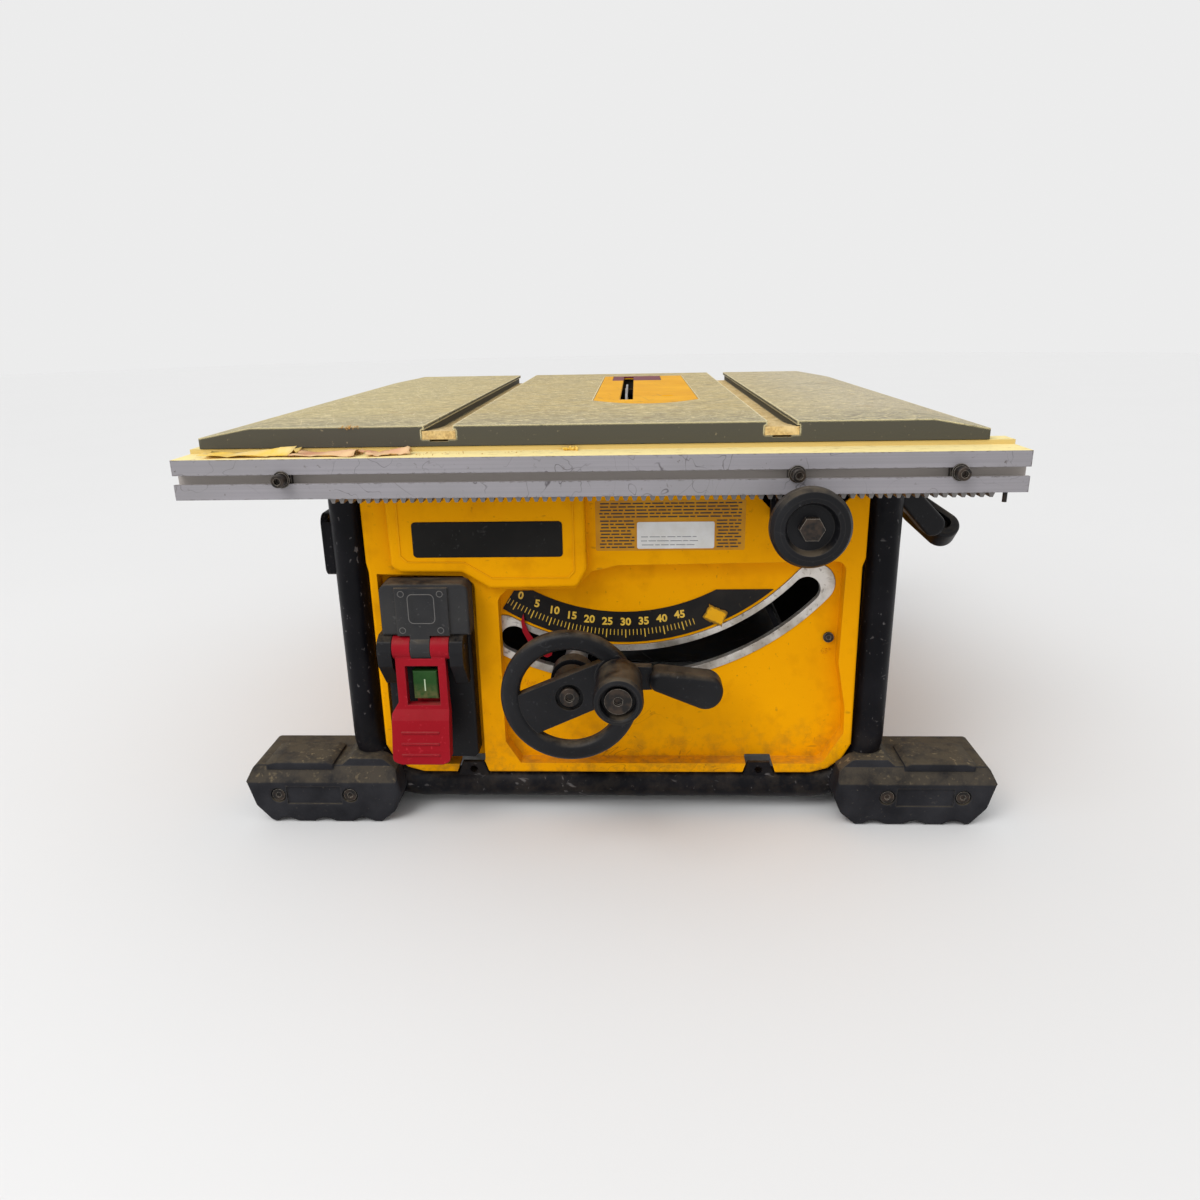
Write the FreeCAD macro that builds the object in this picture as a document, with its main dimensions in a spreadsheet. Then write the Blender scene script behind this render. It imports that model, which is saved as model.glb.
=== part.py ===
import FreeCAD, Part
import math
import os
import Sketcher
from types import SimpleNamespace

# Compact table saw: +X right, +Y away from the operator, +Z up, millimetres.
# The origin is on the floor under the middle of the saw's bounding box.

Vec = FreeCAD.Vector
doc = FreeCAD.newDocument("table_saw")
sheet = doc.addObject("Spreadsheet::Sheet", "Sheet")
nodes = {}


# ---------------------------------------------------------------- driving sizes

DIMENSIONS = {
    # table
    "table_width": 570,
    "table_depth": 560,
    "table_height": 330,
    "table_middle": -16.5,
    "table_front": -253,
    "table_edge": 14.8,
    "table_skin": 7.5,
    "wing_start": 245,
    "wing_drop": 7.3,
    # mitre slots
    "slot_left": -123.5,
    "slot_right": 122.2,
    "slot_mouth": 21.2,
    "slot_width": 25,
    "slot_lip": 3.2,
    "slot_depth": 10.2,
    "groove_width": 13.4,
    "groove_depth": 11.6,
    # throat plate
    "plate_left": -20.5,
    "plate_right": 75.5,
    "plate_nose": -111,
    "plate_shoulder": -74,
    "plate_back": 255,
    "plate_thick": 3,
    "plate_ledge": 6,
    "kerf_middle": 9.9,
    "kerf_width": 11.8,
    "kerf_front": -69,
    "kerf_back": 242,
    # blade and lift
    "blade_plane": 8.5,
    "blade_middle": 87,
    "blade_radius": 105,
    "blade_thick": 2.4,
    "arbor_drop": 107,
    "arbor_radius": 7.94,
    # rails
    "rail_left": -308.5,
    "rail_right": 286,
    "rail_front": -282.5,
    "rail_top": 311.5,
    "rail_face": 28.5,
    "rail_shelf": 49.5,
    "rail_step": 3.3,
    "rail_wall": 4,
    "rack_left": -196.5,
    "rack_pitch_height": 281,
    "rack_module": 2,
    # fence pinion
    "pinion_middle": 133.7,
    "pinion_height": 267,
    "pinion_teeth": 14,
    "rail_shaft_radius": 6,
    # tubular frame
    "tube_radius": 12.5,
    "tube_wall": 1.8,
    "leg_middle": 210.3,
    "front_tube": -215,
    "rear_tube": 267,
    "tube_height": 22,
    "tube_bend": 48,
    "side_tube_x": 205,
    "side_tube_height": 42,
    # moulded front panel
    "panel_bottom": 35,
    "panel_top": 312,
    "panel_rim": -225,
    "panel_floor": -211,
    "panel_skin": 3,
    "band_bottom": 219,
    # bevel arc, measured from the tilt axis
    "arc_inner": 189.5,
    "arc_outer": 211.5,
    "arc_left": -27,
    "arc_right": 46.5,
    # elevation handwheel
    "wheel_x": -31.8,
    "wheel_z": 133.4,
    "wheel_radius": 51.5,
    "wheel_front": -293,
    "wheel_thick": 14,
    "wheel_shaft_radius": 6,
    "crank_x": 5.4,
    "crank_z": 149.8,
    # carriage under the table
    "rod_x": -42,
    "rod_radius": 5,
    "screw_y": -135,
    "screw_radius": 6,
    "motor_radius": 42,
    "gear_module": 1.25,
    "arbor_teeth": 30,
    "motor_teeth": 10,
    # fits
    "running": 0.05,
    "apart": 0.4,
}


class Size:
    """A size in millimetres together with the sheet expression it comes from."""

    def __init__(self, value, text):
        self.value = float(value)
        self.text = text

    def __add__(self, other):
        return combine(self, "+", other)

    def __radd__(self, other):
        return combine(other, "+", self)

    def __sub__(self, other):
        return combine(self, "-", other)

    def __rsub__(self, other):
        return combine(other, "-", self)

    def __mul__(self, other):
        return combine(self, "*", other)

    def __rmul__(self, other):
        return combine(other, "*", self)

    def __truediv__(self, other):
        return combine(self, "/", other)

    def __neg__(self):
        return combine(0, "-", self)


def sized(value):
    if isinstance(value, Size):
        return value
    return Size(value, f"({value:.6f})")


def combine(left, sign, right):
    left, right = sized(left), sized(right)
    results = {
        "+": left.value + right.value,
        "-": left.value - right.value,
        "*": left.value * right.value,
        "/": left.value / right.value if sign == "/" else 0,
    }
    return Size(results[sign], f"({left.text} {sign} {right.text})")


def fill_sheet():
    for row, (name, value) in enumerate(DIMENSIONS.items(), start=1):
        sheet.set(f"A{row}", name)
        sheet.set(f"B{row}", str(value))
        sheet.setAlias(f"B{row}", name)
    doc.recompute()
    return SimpleNamespace(
        **{name: Size(value, f"Sheet.{name}") for name, value in DIMENSIONS.items()}
    )


dim = fill_sheet()


# ---------------------------------------------------------------- building blocks

UPRIGHT = FreeCAD.Rotation()
ALONG = {
    "x": FreeCAD.Rotation(Vec(0, 1, 0), 90),
    "y": FreeCAD.Rotation(Vec(1, 0, 0), -90),
    "z": UPRIGHT,
}


def bind(item, prop, value):
    """Ties a property to the sheet."""
    item.setExpression(prop, sized(value).text)


def bind_place(item, point):
    for name, value in zip("xyz", point):
        bind(item, f"Placement.Base.{name}", value)


def box(name, x, y, z):
    """A block between (low, high) limits on each axis."""
    item = doc.addObject("Part::Box", name)
    for prop, (low, high) in zip(("Length", "Width", "Height"), (x, y, z)):
        bind(item, prop, high - low)
    bind_place(item, (x[0], y[0], z[0]))
    return item


def rod(name, axis, start, radius, length):
    """A cylinder from its start point along a named axis."""
    item = doc.addObject("Part::Cylinder", name)
    item.Placement = FreeCAD.Placement(Vec(), ALONG[axis])
    bind(item, "Radius", radius)
    bind(item, "Height", length)
    bind_place(item, start)
    return item


def cone(name, axis, start, radius, end_radius, length):
    item = doc.addObject("Part::Cone", name)
    item.Placement = FreeCAD.Placement(Vec(), ALONG[axis])
    bind(item, "Radius1", radius)
    bind(item, "Radius2", end_radius)
    bind(item, "Height", length)
    bind_place(item, start)
    return item


def ball(name, centre, radius):
    item = doc.addObject("Part::Sphere", name)
    bind(item, "Radius", radius)
    bind_place(item, centre)
    return item


def fuse(name, *items):
    result = doc.addObject("Part::MultiFuse", name)
    result.Shapes = list(items)
    return result


def cut(name, base, *tools):
    result = doc.addObject("Part::Cut", name)
    result.Base = base
    result.Tool = tools[0] if len(tools) == 1 else fuse(name + "_tools", *tools)
    return result


def common(name, base, tool):
    result = doc.addObject("Part::Common", name)
    result.Base = base
    result.Tool = tool
    return result


def group(name, items):
    """Separate solids that share one node."""
    result = doc.addObject("Part::Compound", name)
    result.Links = list(items)
    return result


def tube(name, axis, start, outer, inner, length):
    shell = rod(name + "_outside", axis, start, outer, length)
    bore = rod(name + "_bore", axis, start, inner, length)
    return cut(name, shell, bore)


def shape_feature(name, shape, place=None):
    item = doc.addObject("Part::Feature", name)
    item.Shape = shape
    if place is not None:
        item.Placement = place
    return item


def node(label, item):
    """Registers a finished sub-part under its own label."""
    item.Label = label
    nodes[label] = item
    return item


def straight_edges(shape, axis, corners=None):
    """Numbers of the straight edges along an axis, at given corners or all."""
    index = "xyz".index(axis)
    others = [i for i in range(3) if i != index]
    found = []
    for number, edge in enumerate(shape.Edges, start=1):
        if not isinstance(edge.Curve, Part.Line):
            continue
        ends = [vertex.Point for vertex in edge.Vertexes]
        if any(abs(ends[0][i] - ends[1][i]) > 1e-4 for i in others):
            continue
        at = [ends[0][i] for i in others]
        if corners is None or any(
            abs(at[0] - u) < 0.05 and abs(at[1] - v) < 0.05 for u, v in corners
        ):
            found.append(number)
    return found


def face_edges(shape, axis, level):
    """Numbers of the edges that lie wholly at one level of an axis."""
    index = "xyz".index(axis)
    found = []
    for number, edge in enumerate(shape.Edges, start=1):
        bounds = edge.BoundBox
        low = (bounds.XMin, bounds.YMin, bounds.ZMin)[index]
        high = (bounds.XMax, bounds.YMax, bounds.ZMax)[index]
        if abs(low - level) < 0.02 and abs(high - level) < 0.02:
            found.append(number)
    return found


def rounded(name, base, edges, radius, kind="Part::Fillet"):
    """Rounds or chamfers numbered edges of a finished item."""
    result = doc.addObject(kind, name)
    result.Base = base
    result.Edges = [(number, radius, radius) for number in edges]
    doc.recompute()
    return result


def corner_values(corners):
    return [(sized(u).value, sized(v).value) for u, v in corners]


def round_corners(name, base, axis, corners, radius):
    doc.recompute()
    edges = straight_edges(base.Shape, axis, corner_values(corners))
    return rounded(name, base, edges, radius)


def soften(name, base, axis, level, radius, kind="Part::Fillet"):
    """Softens the edges of the face at one level."""
    doc.recompute()
    edges = face_edges(base.Shape, axis, sized(level).value)
    return rounded(name, base, edges, radius, kind)


# The sketch planes: role, and how a sketch's own (u, v) lie in space.
PLANES = {"x": "YZ_Plane", "y": "XZ_Plane", "z": "XY_Plane"}


def sketch_loop(sketch, points):
    """Draws one closed polygon whose corners are tied to the sheet."""
    first = sketch.GeometryCount
    count = len(points)
    corners = [(sized(u), sized(v)) for u, v in points]
    for i, (u, v) in enumerate(corners):
        following = corners[(i + 1) % count]
        sketch.addGeometry(
            Part.LineSegment(
                Vec(u.value, v.value, 0), Vec(following[0].value, following[1].value, 0)
            )
        )
    for i, (u, v) in enumerate(corners):
        line = first + i
        sketch.addConstraint(
            Sketcher.Constraint("Coincident", line, 2, first + (i + 1) % count, 1)
        )
        for kind, value in (("DistanceX", u), ("DistanceY", v)):
            number = sketch.addConstraint(
                Sketcher.Constraint(kind, -1, 1, line, 1, value.value)
            )
            sketch.setExpression(f"Constraints[{number}]", value.text)


def profile(name, axis, low, high, *loops):
    """A PartDesign body: polygons drawn across an axis and padded along it.

    Across x the points are (y, z), across y they are (x, z), across z (x, y).
    """
    body = doc.addObject("PartDesign::Body", name)
    sketch = body.newObject("Sketcher::SketchObject", name + "_sketch")
    plane = [f for f in body.Origin.OriginFeatures if f.Role == PLANES[axis]][0]
    sketch.AttachmentSupport = [(plane, "")]
    sketch.MapMode = "FlatFace"
    for points in loops:
        sketch_loop(sketch, points)
    # The XZ plane's normal points along -Y, so its pad starts at the high end.
    start = -sized(high) if axis == "y" else sized(low)
    sketch.setExpression("AttachmentOffset.Base.z", start.text)
    pad = body.newObject("PartDesign::Pad", name + "_pad")
    pad.Profile = sketch
    bind(pad, "Length", high - low)
    sketch.Visibility = False
    doc.recompute()
    return body


def turned(name, axis, centre, outline):
    """A solid of revolution about an axis: outline holds (radius, distance)."""
    points = [Vec(sized(r).value, 0, sized(t).value) for r, t in outline]
    face = Part.Face(Part.makePolygon(points + points[:1]))
    solid = face.revolve(Vec(), Vec(0, 0, 1), 360)
    place = FreeCAD.Placement(Vec(*[sized(c).value for c in centre]), ALONG[axis])
    return shape_feature(name, solid, place)


# Directions in the front plane are counted from straight down, towards +X.
TILT_X = dim.blade_plane
TILT_Z = dim.table_height


def arc_point(radius, degrees):
    angle = math.radians(degrees)
    return (
        TILT_X + sized(radius) * math.sin(angle),
        TILT_Z - sized(radius) * math.cos(angle),
    )


def sector(name, y, radius, start, end):
    """A pie slice about the tilt axis between two directions."""
    angle = math.radians(sized(start).value)
    item = doc.addObject("Part::Cylinder", name)
    item.Placement = FreeCAD.Placement(
        Vec(),
        FreeCAD.Rotation(
            Vec(math.sin(angle), 0, -math.cos(angle)),
            Vec(math.cos(angle), 0, math.sin(angle)),
            Vec(0, -1, 0),
            "ZXY",
        ),
    )
    bind(item, "Radius", radius)
    bind(item, "Height", y[1] - y[0])
    bind(item, "Angle", sized(end) - start)
    bind_place(item, (TILT_X, y[1], TILT_Z))
    return item


def arc_band(name, y, inner, outer, start, end, caps=True):
    """A curved slot or plate about the tilt axis, with round ends if capped."""
    slice_ = sector(name + "_slice", y, outer, start, end)
    core = rod(
        name + "_core", "y", (TILT_X, sized(y[0]) - 1, TILT_Z), inner, y[1] - y[0] + 2
    )
    band = cut(name + "_band", slice_, core)
    if not caps:
        return band
    middle = (sized(inner) + outer) / 2
    half = (sized(outer) - inner) / 2
    parts = [band]
    for side, degrees in (("start", start), ("end", end)):
        x, z = arc_point(middle, sized(degrees).value)
        parts.append(rod(f"{name}_{side}", "y", (x, y[0], z), half, y[1] - y[0]))
    return fuse(name, *parts)


def involute_gear(module, teeth, width, bore, addendum=1.0, backlash=0.2):
    """A spur gear about +Z from z = 0, with involute flanks."""
    pitch = module * teeth / 2
    base = pitch * math.cos(math.radians(20))
    tip = pitch + addendum * module
    root = pitch - 1.25 * module
    half = math.pi / (2 * teeth) - backlash / (2 * pitch)
    half += math.tan(math.radians(20)) - math.radians(20)
    flank = []
    steps = 5
    start = max(base, root)
    for i in range(steps):
        radius = start + (tip - start) * i / (steps - 1)
        roll = math.sqrt(max(radius * radius / (base * base) - 1, 0))
        flank.append((radius, half - (roll - math.atan(roll))))
    if root < base:
        flank.insert(0, (root, half))
    points = []
    for tooth in range(teeth):
        middle = 2 * math.pi * tooth / teeth
        side = [(r, middle - a) for r, a in flank]
        other = [(r, middle + a) for r, a in reversed(flank)]
        points += [Vec(r * math.cos(a), r * math.sin(a), 0) for r, a in side + other]
    face = Part.Face(Part.makePolygon(points + points[:1]))
    gear = face.extrude(Vec(0, 0, width))
    if bore > 0:
        gear = gear.cut(Part.makeCylinder(bore, width + 2, Vec(0, 0, -1)))
    return gear


def rack_bar(module, teeth, width, back, addendum):
    """A rack along +X with its teeth down; the pitch line is at z = 0."""
    pitch = math.pi * module
    depth = 1.3 * module
    slope = math.tan(math.radians(20))
    points = [Vec(0, 0, back)]
    for tooth in range(teeth):
        middle = (tooth + 0.5) * pitch
        quarter = pitch / 4
        points += [
            Vec(middle - quarter - depth * slope, 0, depth),
            Vec(middle - quarter + addendum * slope, 0, -addendum),
            Vec(middle + quarter - addendum * slope, 0, -addendum),
            Vec(middle + quarter + depth * slope, 0, depth),
        ]
    points.insert(1, Vec(0, 0, depth))
    points.append(Vec(teeth * pitch, 0, depth))
    points.append(Vec(teeth * pitch, 0, back))
    face = Part.Face(Part.makePolygon(points + points[:1]))
    return face.extrude(Vec(0, width, 0))


def bevel_gear(pitch_radius, teeth, face_width, bore, fill):
    """A 45 degree bevel gear on +Z with its apex at the origin.

    The big end is at z = pitch_radius; fill is the tooth's share of the pitch.
    """
    small = pitch_radius - face_width
    cone_body = Part.makeCone(
        small - 1.6, pitch_radius - 2.2, face_width, Vec(0, 0, small)
    )
    hub = Part.makeCylinder(pitch_radius - 2.2, 4, Vec(0, 0, pitch_radius))
    body = cone_body.fuse(hub)
    for tooth in range(teeth):
        wires = []
        for reach in (small, pitch_radius):
            half = math.pi * reach / teeth * fill
            high = reach * 0.065
            low = reach * 0.20
            inward = Vec(-1, 0, 1)
            middle = Vec(reach, 0, reach)
            across = Vec(0, 1, 0)
            corners = [
                middle + inward * low + across * half,
                middle - inward * high + across * half * 0.7,
                middle - inward * high - across * half * 0.7,
                middle + inward * low - across * half,
            ]
            wires.append(Part.makePolygon(corners + corners[:1]))
        blade = Part.makeLoft(wires, True)
        blade.rotate(Vec(), Vec(0, 0, 1), 360 * tooth / teeth)
        body = body.fuse(blade)
    bore_tool = Part.makeCylinder(bore, 2 * pitch_radius + 10)
    return body.cut(bore_tool).removeSplitter()


# ---------------------------------------------------------------- table

TABLE_BOTTOM = dim.table_height - dim.table_edge
TABLE_BACK = dim.table_front + dim.table_depth


def mitre_slot(middle):
    """The stepped outline of one T-slot, from its left lip to its right lip."""
    top = dim.table_height
    steps = (
        (dim.slot_mouth, 0, dim.slot_lip),
        (dim.slot_width, dim.slot_lip, dim.slot_depth),
        (dim.groove_width, dim.slot_depth, dim.groove_depth),
    )
    left = []
    right = []
    for width, upper, lower in steps:
        left += [(middle - width / 2, top - upper), (middle - width / 2, top - lower)]
        right = [
            (middle + width / 2, top - lower),
            (middle + width / 2, top - upper),
        ] + right
    return left + right


def plate_outline(inset, back_inset):
    """Throat plate outline: a straight-sided tongue with a curved nose."""
    left = dim.plate_left + inset
    right = dim.plate_right - inset
    shoulder = dim.plate_shoulder + inset
    nose = dim.plate_nose + inset
    back = dim.plate_back - back_inset
    width = right - left
    middle = left + width / 2
    rise = shoulder - nose
    points = []
    steps = 12
    for i in range(steps + 1):
        across = 2 * i / steps - 1
        y = nose + rise * (across * across)
        points.append((middle + width / 2 * across, y))
    return [(left, back)] + points + [(right, back)]


def make_table():
    top = dim.table_height
    middle = dim.table_middle
    half = dim.table_width / 2
    wing_tip = top - dim.wing_drop
    outline = [(middle - half, TABLE_BOTTOM), (middle - half, wing_tip)]
    outline += [(middle - dim.wing_start, top)]
    outline += mitre_slot(dim.slot_left) + mitre_slot(dim.slot_right)
    outline += [(middle + dim.wing_start, top), (middle + half, wing_tip)]
    outline += [(middle + half, TABLE_BOTTOM)]
    slab = profile("table_slab", "y", dim.table_front, TABLE_BACK, outline)
    slab = round_corners(
        "table_back_corners",
        slab,
        "z",
        [(middle - half, TABLE_BACK), (middle + half, TABLE_BACK)],
        14,
    )
    slab = round_corners(
        "table_front_corners",
        slab,
        "z",
        [(middle - half, dim.table_front), (middle + half, dim.table_front)],
        3,
    )
    ledge = profile(
        "throat_ledge",
        "z",
        top - dim.plate_thick,
        top + 1,
        plate_outline(sized(0), sized(0)),
    )
    opening = profile(
        "throat_opening",
        "z",
        TABLE_BOTTOM - 1,
        top,
        plate_outline(dim.plate_ledge, dim.plate_ledge),
    )
    ceiling = top - dim.table_skin
    pockets = []
    columns = ((-290, -142), (-104, -34), (140, 252))
    rows = ((-165, -70), (-64, 30), (36, 130), (136, 222))
    for c, (x_low, x_high) in enumerate(columns):
        for r, (y_low, y_high) in enumerate(rows):
            x = (x_low, x_high)
            y = (y_low, y_high)
            pockets.append(box(f"rib_pocket_{c}_{r}", x, y, (TABLE_BOTTOM - 1, ceiling)))
    node("table_top", cut("table_casting", slab, ledge, opening, *pockets))


def make_throat_plate():
    top = dim.table_height
    gap = dim.apart
    low = top - dim.plate_thick
    blank = profile("plate_blank", "z", low, top, plate_outline(gap, gap))
    kerf_left = dim.kerf_middle - dim.kerf_width / 2
    kerf_right = dim.kerf_middle + dim.kerf_width / 2
    kerf = box("kerf", (kerf_left, kerf_right), (dim.kerf_front, dim.kerf_back), (low - 1, top + 1))
    seat = box("insert_seat", (-9, 48.5), (179, 253), (top - 1.5, top + 1))
    dish = ball("finger_dish", (48, -34, top + 12), 13.6)
    node("throat_plate", cut("plate_cut", blank, kerf, seat, dish))
    insert = box("insert_blank", (-8.7, 48.2), (179.3, 252.7), (top - 1.5, top))
    wide_kerf = box(
        "insert_kerf", (kerf_left, kerf_right), (170, dim.kerf_back), (low - 1, top + 1)
    )
    node("throat_insert", cut("insert_cut", insert, wide_kerf))


# ---------------------------------------------------------------- fence rails


def rail_section(mirrored):
    """Rail cross-section in (y, z): face with a T-groove, and a stepped shelf."""
    front = dim.rail_front
    top = dim.rail_top
    bottom = top - dim.rail_face
    corners = [
        (0, 0, top),
        (0, 11, top),
        (3, 11, top),
        (3, 8.3, top),
        (8, 8.3, top),
        (8, 20.2, top),
        (3, 20.2, top),
        (3, 17.5, top),
        (0, 17.5, top),
        (0, 0, bottom),
        (2, 0, bottom),
        (2, -4, bottom),
        (12.3, -4, bottom),
        (12.3, 0, bottom),
        (14.3, 0, bottom),
        (14.3, dim.rail_wall, top),
        (dim.rail_shelf, dim.rail_wall, top),
        (dim.rail_shelf, -dim.rail_step, top),
        (30.5, -dim.rail_step, top),
        (30.5, 0, top),
    ]
    points = [(front + back, level - drop) for back, drop, level in corners]
    if mirrored:
        return [(mirror_y(y), z) for y, z in points]
    return points


TABLE_MIDDLE_Y = dim.table_front + dim.table_depth / 2


def mirror_y(y):
    """Reflects a place across the middle of the table, front to back."""
    return 2 * TABLE_MIDDLE_Y - y


def make_rail(side, mirrored):
    """One rail; returns the rack that is let into its lower edge."""
    body = profile(
        f"{side}_rail_profile", "x", dim.rail_left, dim.rail_right, rail_section(mirrored)
    )
    node(f"{side}_rail", body)
    pitch = math.pi * dim.rack_module.value
    teeth = 74
    back = dim.rail_top - dim.rail_face + 3.9 - dim.rack_pitch_height
    rack = rack_bar(dim.rack_module.value, teeth, 10, back.value, 1.6)
    # A space between two teeth stands over the pinion's shaft.
    spaces = round((dim.pinion_middle.value - dim.rack_left.value) / pitch)
    start_x = dim.pinion_middle.value - spaces * pitch
    front = dim.rail_front.value + 2.15
    y = front if not mirrored else mirror_y(sized(front + 10)).value
    place = FreeCAD.Placement(Vec(start_x, y, dim.rack_pitch_height.value), UPRIGHT)
    return shape_feature(f"{side}_rack_bar", rack, place)


def make_rail_screws():
    """Cap-head locator screws whose T-nuts sit in the front rail's groove."""
    face = dim.rail_front
    middle = dim.rail_top - 14.25
    screws = []
    for i, x in enumerate((-230.3, 128.9, 238.9)):
        washer = rod(f"locator_washer_{i}", "y", (x, face - 1.2, middle), 6, 1.2)
        head = rod(f"locator_head_{i}", "y", (x, face - 9.2, middle), 4.6, 8)
        head = soften(f"locator_crown_{i}", head, "y", face - 9.2, 0.8)
        socket = rod(f"locator_socket_{i}", "y", (x, face - 9.3, middle), 2.4, 3.5)
        stem = rod(f"locator_stem_{i}", "y", (x, face, middle), 2.5, 7)
        nut_y = (face + 3.3, face + 7.6)
        nut_z = (middle - 5.2, middle + 5.2)
        nut = box(f"locator_nut_{i}", (x - 5.5, x + 5.5), nut_y, nut_z)
        screw = fuse(f"locator_{i}", washer, head, stem, nut)
        screws.append(cut(f"locator_screw_{i}", screw, socket))
    pin = rod("end_pin_stem", "z", (273.5, face + 7, dim.rail_top - dim.rail_face - 8), 1.6, 11.9)
    node("rail_screws", group("rail_screw_group", screws + [pin]))


def make_rail_guides():
    """Blocks under the table that hold each rail's shelf."""
    inner = dim.rail_front + dim.rail_shelf
    shelf_low = dim.rail_top - dim.rail_wall
    blocks = []
    for side in ("front", "rear"):
        for i, x in enumerate(((45, 85), (160, 190))):
            y = (inner - 19, inner + 4.5)
            slot_y = (inner - 20, inner + dim.apart)
            if side == "rear":
                y = (mirror_y(y[1]), mirror_y(y[0]))
                slot_y = (mirror_y(slot_y[1]), mirror_y(slot_y[0]))
            block = box(f"{side}_guide_block_{i}", x, y, (TABLE_BOTTOM - 13, TABLE_BOTTOM))
            slot = box(
                f"{side}_guide_slot_{i}",
                (x[0] - 1, x[1] + 1),
                slot_y,
                (shelf_low - dim.apart, TABLE_BOTTOM + 1),
            )
            blocks.append(cut(f"{side}_guide_{i}", block, slot))
    node("rail_guides", group("rail_guide_group", blocks))


def make_pinion():
    """The through shaft that keeps both rails square, with its knob."""
    x = dim.pinion_middle
    z = dim.pinion_height
    back = mirror_y(dim.rail_front) - 0.5
    step = -315
    shaft = rod("pinion_shaft_bar", "y", (x, step, z), dim.rail_shaft_radius, back - step)
    stub = rod("pinion_shaft_stub", "y", (x, step - 5, z), 4, 5.2)
    node("pinion_shaft", fuse("pinion_shaft_whole", shaft, stub))
    module = dim.rack_module.value
    teeth = int(dim.pinion_teeth.value)
    front = dim.rail_front.value + 2.5
    rear = mirror_y(sized(front + 9.3)).value
    gears = []
    for side, y in (("front", front), ("rear", rear)):
        gear = involute_gear(module, teeth, 9.3, dim.rail_shaft_radius.value, 0.9, 0.35)
        # A tooth points straight up into the rack.
        turn = FreeCAD.Rotation(Vec(0, 1, 0), -90).multiply(ALONG["y"])
        place = FreeCAD.Placement(Vec(x.value, y, z.value), turn)
        gears.append(shape_feature(f"{side}_pinion_gear", gear, place))
    node("rail_pinions", group("rail_pinion_group", gears))
    outline = [
        (6.0, 0),
        (13, 0),
        (14, 3),
        (23, 3.5),
        (27, 7),
        (27.2, 15),
        (25, 19),
        (21, 20.4),
        (18, 19.6),
        (16.6, 16.5),
        (15.6, 13),
        (6.0, 13),
    ]
    flipped = [(r, 20.4 - t) for r, t in outline]
    node("rail_knob", turned("rail_knob_body", "y", (x, -322.4, z), flipped))
    nut = doc.addObject("Part::Prism", "knob_nut_hex")
    nut.Polygon = 6
    nut.Placement = FreeCAD.Placement(Vec(), ALONG["y"])
    bind(nut, "Circumradius", sized(8.6))
    bind(nut, "Height", sized(6.5))
    bind_place(nut, (x, -321.6, z))
    bore = rod("knob_nut_bore", "y", (x, -320.2, z), 4, 6)
    node("rail_knob_nut", cut("knob_nut", nut, bore))


def make_pinion_bearings():
    x = dim.pinion_middle
    z = dim.pinion_height
    inner = dim.rail_front + dim.rail_shelf
    brackets = []
    for side in ("front", "rear"):
        y = (inner + 0.6, inner + 5.5)
        boss_y = (inner - 12, inner + 5.5)
        if side == "rear":
            y = (mirror_y(y[1]), mirror_y(y[0]))
            boss_y = (mirror_y(boss_y[1]), mirror_y(boss_y[0]))
        hanger = box(f"{side}_hanger", (x - 14, x + 14), y, (z - 12, TABLE_BOTTOM))
        boss = rod(f"{side}_boss", "y", (x, boss_y[0], z), 11, boss_y[1] - boss_y[0])
        bore = rod(
            f"{side}_shaft_bore",
            "y",
            (x, boss_y[0] - 1, z),
            dim.rail_shaft_radius + dim.running,
            boss_y[1] - boss_y[0] + 2,
        )
        whole = fuse(f"{side}_bracket", hanger, boss)
        brackets.append(cut(f"{side}_pinion_block", whole, bore))
    return brackets


def lozenge(first, first_radius, second, second_radius):
    """Corners of the straight-sided shape that holds two circles, end to end."""
    run = (second[0] - first[0], second[1] - first[1])
    gap = math.hypot(*run)
    along = (run[0] / gap, run[1] / gap)
    across = (-along[1], along[0])
    flare = math.asin((second_radius - first_radius) / gap)
    corners = []
    for centre, radius, end in ((first, first_radius, -1), (second, second_radius, 1)):
        half = radius * (1 + end * math.sin(flare)) / math.cos(flare)
        for side in (end, -end):
            shift = [end * radius * along[i] - side * half * across[i] for i in (0, 1)]
            corners.append((centre[0] + shift[0], centre[1] + shift[1]))
    return corners


def stadium(name, y, first, first_radius, second, second_radius):
    """A bar with a round end at each of two (x, z) centres."""
    corners = lozenge(first, first_radius, second, second_radius)
    bar = profile(name + "_bar", "y", sized(y[0]), sized(y[1]), corners)
    bar = round_corners(name + "_first", bar, "y", corners[:2], 0.96 * first_radius)
    return round_corners(name + "_second", bar, "y", corners[2:], 0.96 * second_radius)


def make_rail_lock():
    """Cam lever under the right of the front rail, on its own pin."""
    pin_x, pin_z = 228, 268
    neck_y = (-200.5, -180)
    neck = stadium("lock_neck_plate", neck_y, (pin_x, pin_z), 8.5, (253, 241), 9)
    neck = soften("lock_neck_edge", neck, "y", neck_y[0], 3)
    # The thumb paddle is made level and upright, then leaned back.
    paddle = stadium("lock_paddle", (0, 19), (-17, 19), 10, (0, 0), 12)
    paddle = soften("lock_paddle_face", paddle, "y", 0, 2.5)
    paddle = soften("lock_paddle_back", paddle, "y", 19, 4)
    thumb = stadium("lock_thumb", (-1, 6), (-14, 15.7), 4.6, (-1, 1), 6)
    leaned = cut("lock_thumb_paddle", paddle, thumb)
    leaned.Placement = FreeCAD.Placement(
        Vec(264, -191.5, 241), FreeCAD.Rotation(Vec(1, 0, 0), -45)
    )
    bore = rod("lock_lever_bore", "y", (pin_x, -230, pin_z), 4 + dim.running, 70)
    node("rail_lock_lever", cut("lock_lever", fuse("lock_whole", neck, leaned), bore))
    bracket = box("lock_bracket_block", (214, 234), (-177, -167), (258, TABLE_BOTTOM))
    seat = rod("lock_bracket_seat", "y", (pin_x, -179, pin_z), 4, 12)
    hanger = cut("lock_bracket", bracket, seat)
    return hanger, rod("lock_pin", "y", (pin_x, -201.5, pin_z), 4, 33.5)


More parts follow.
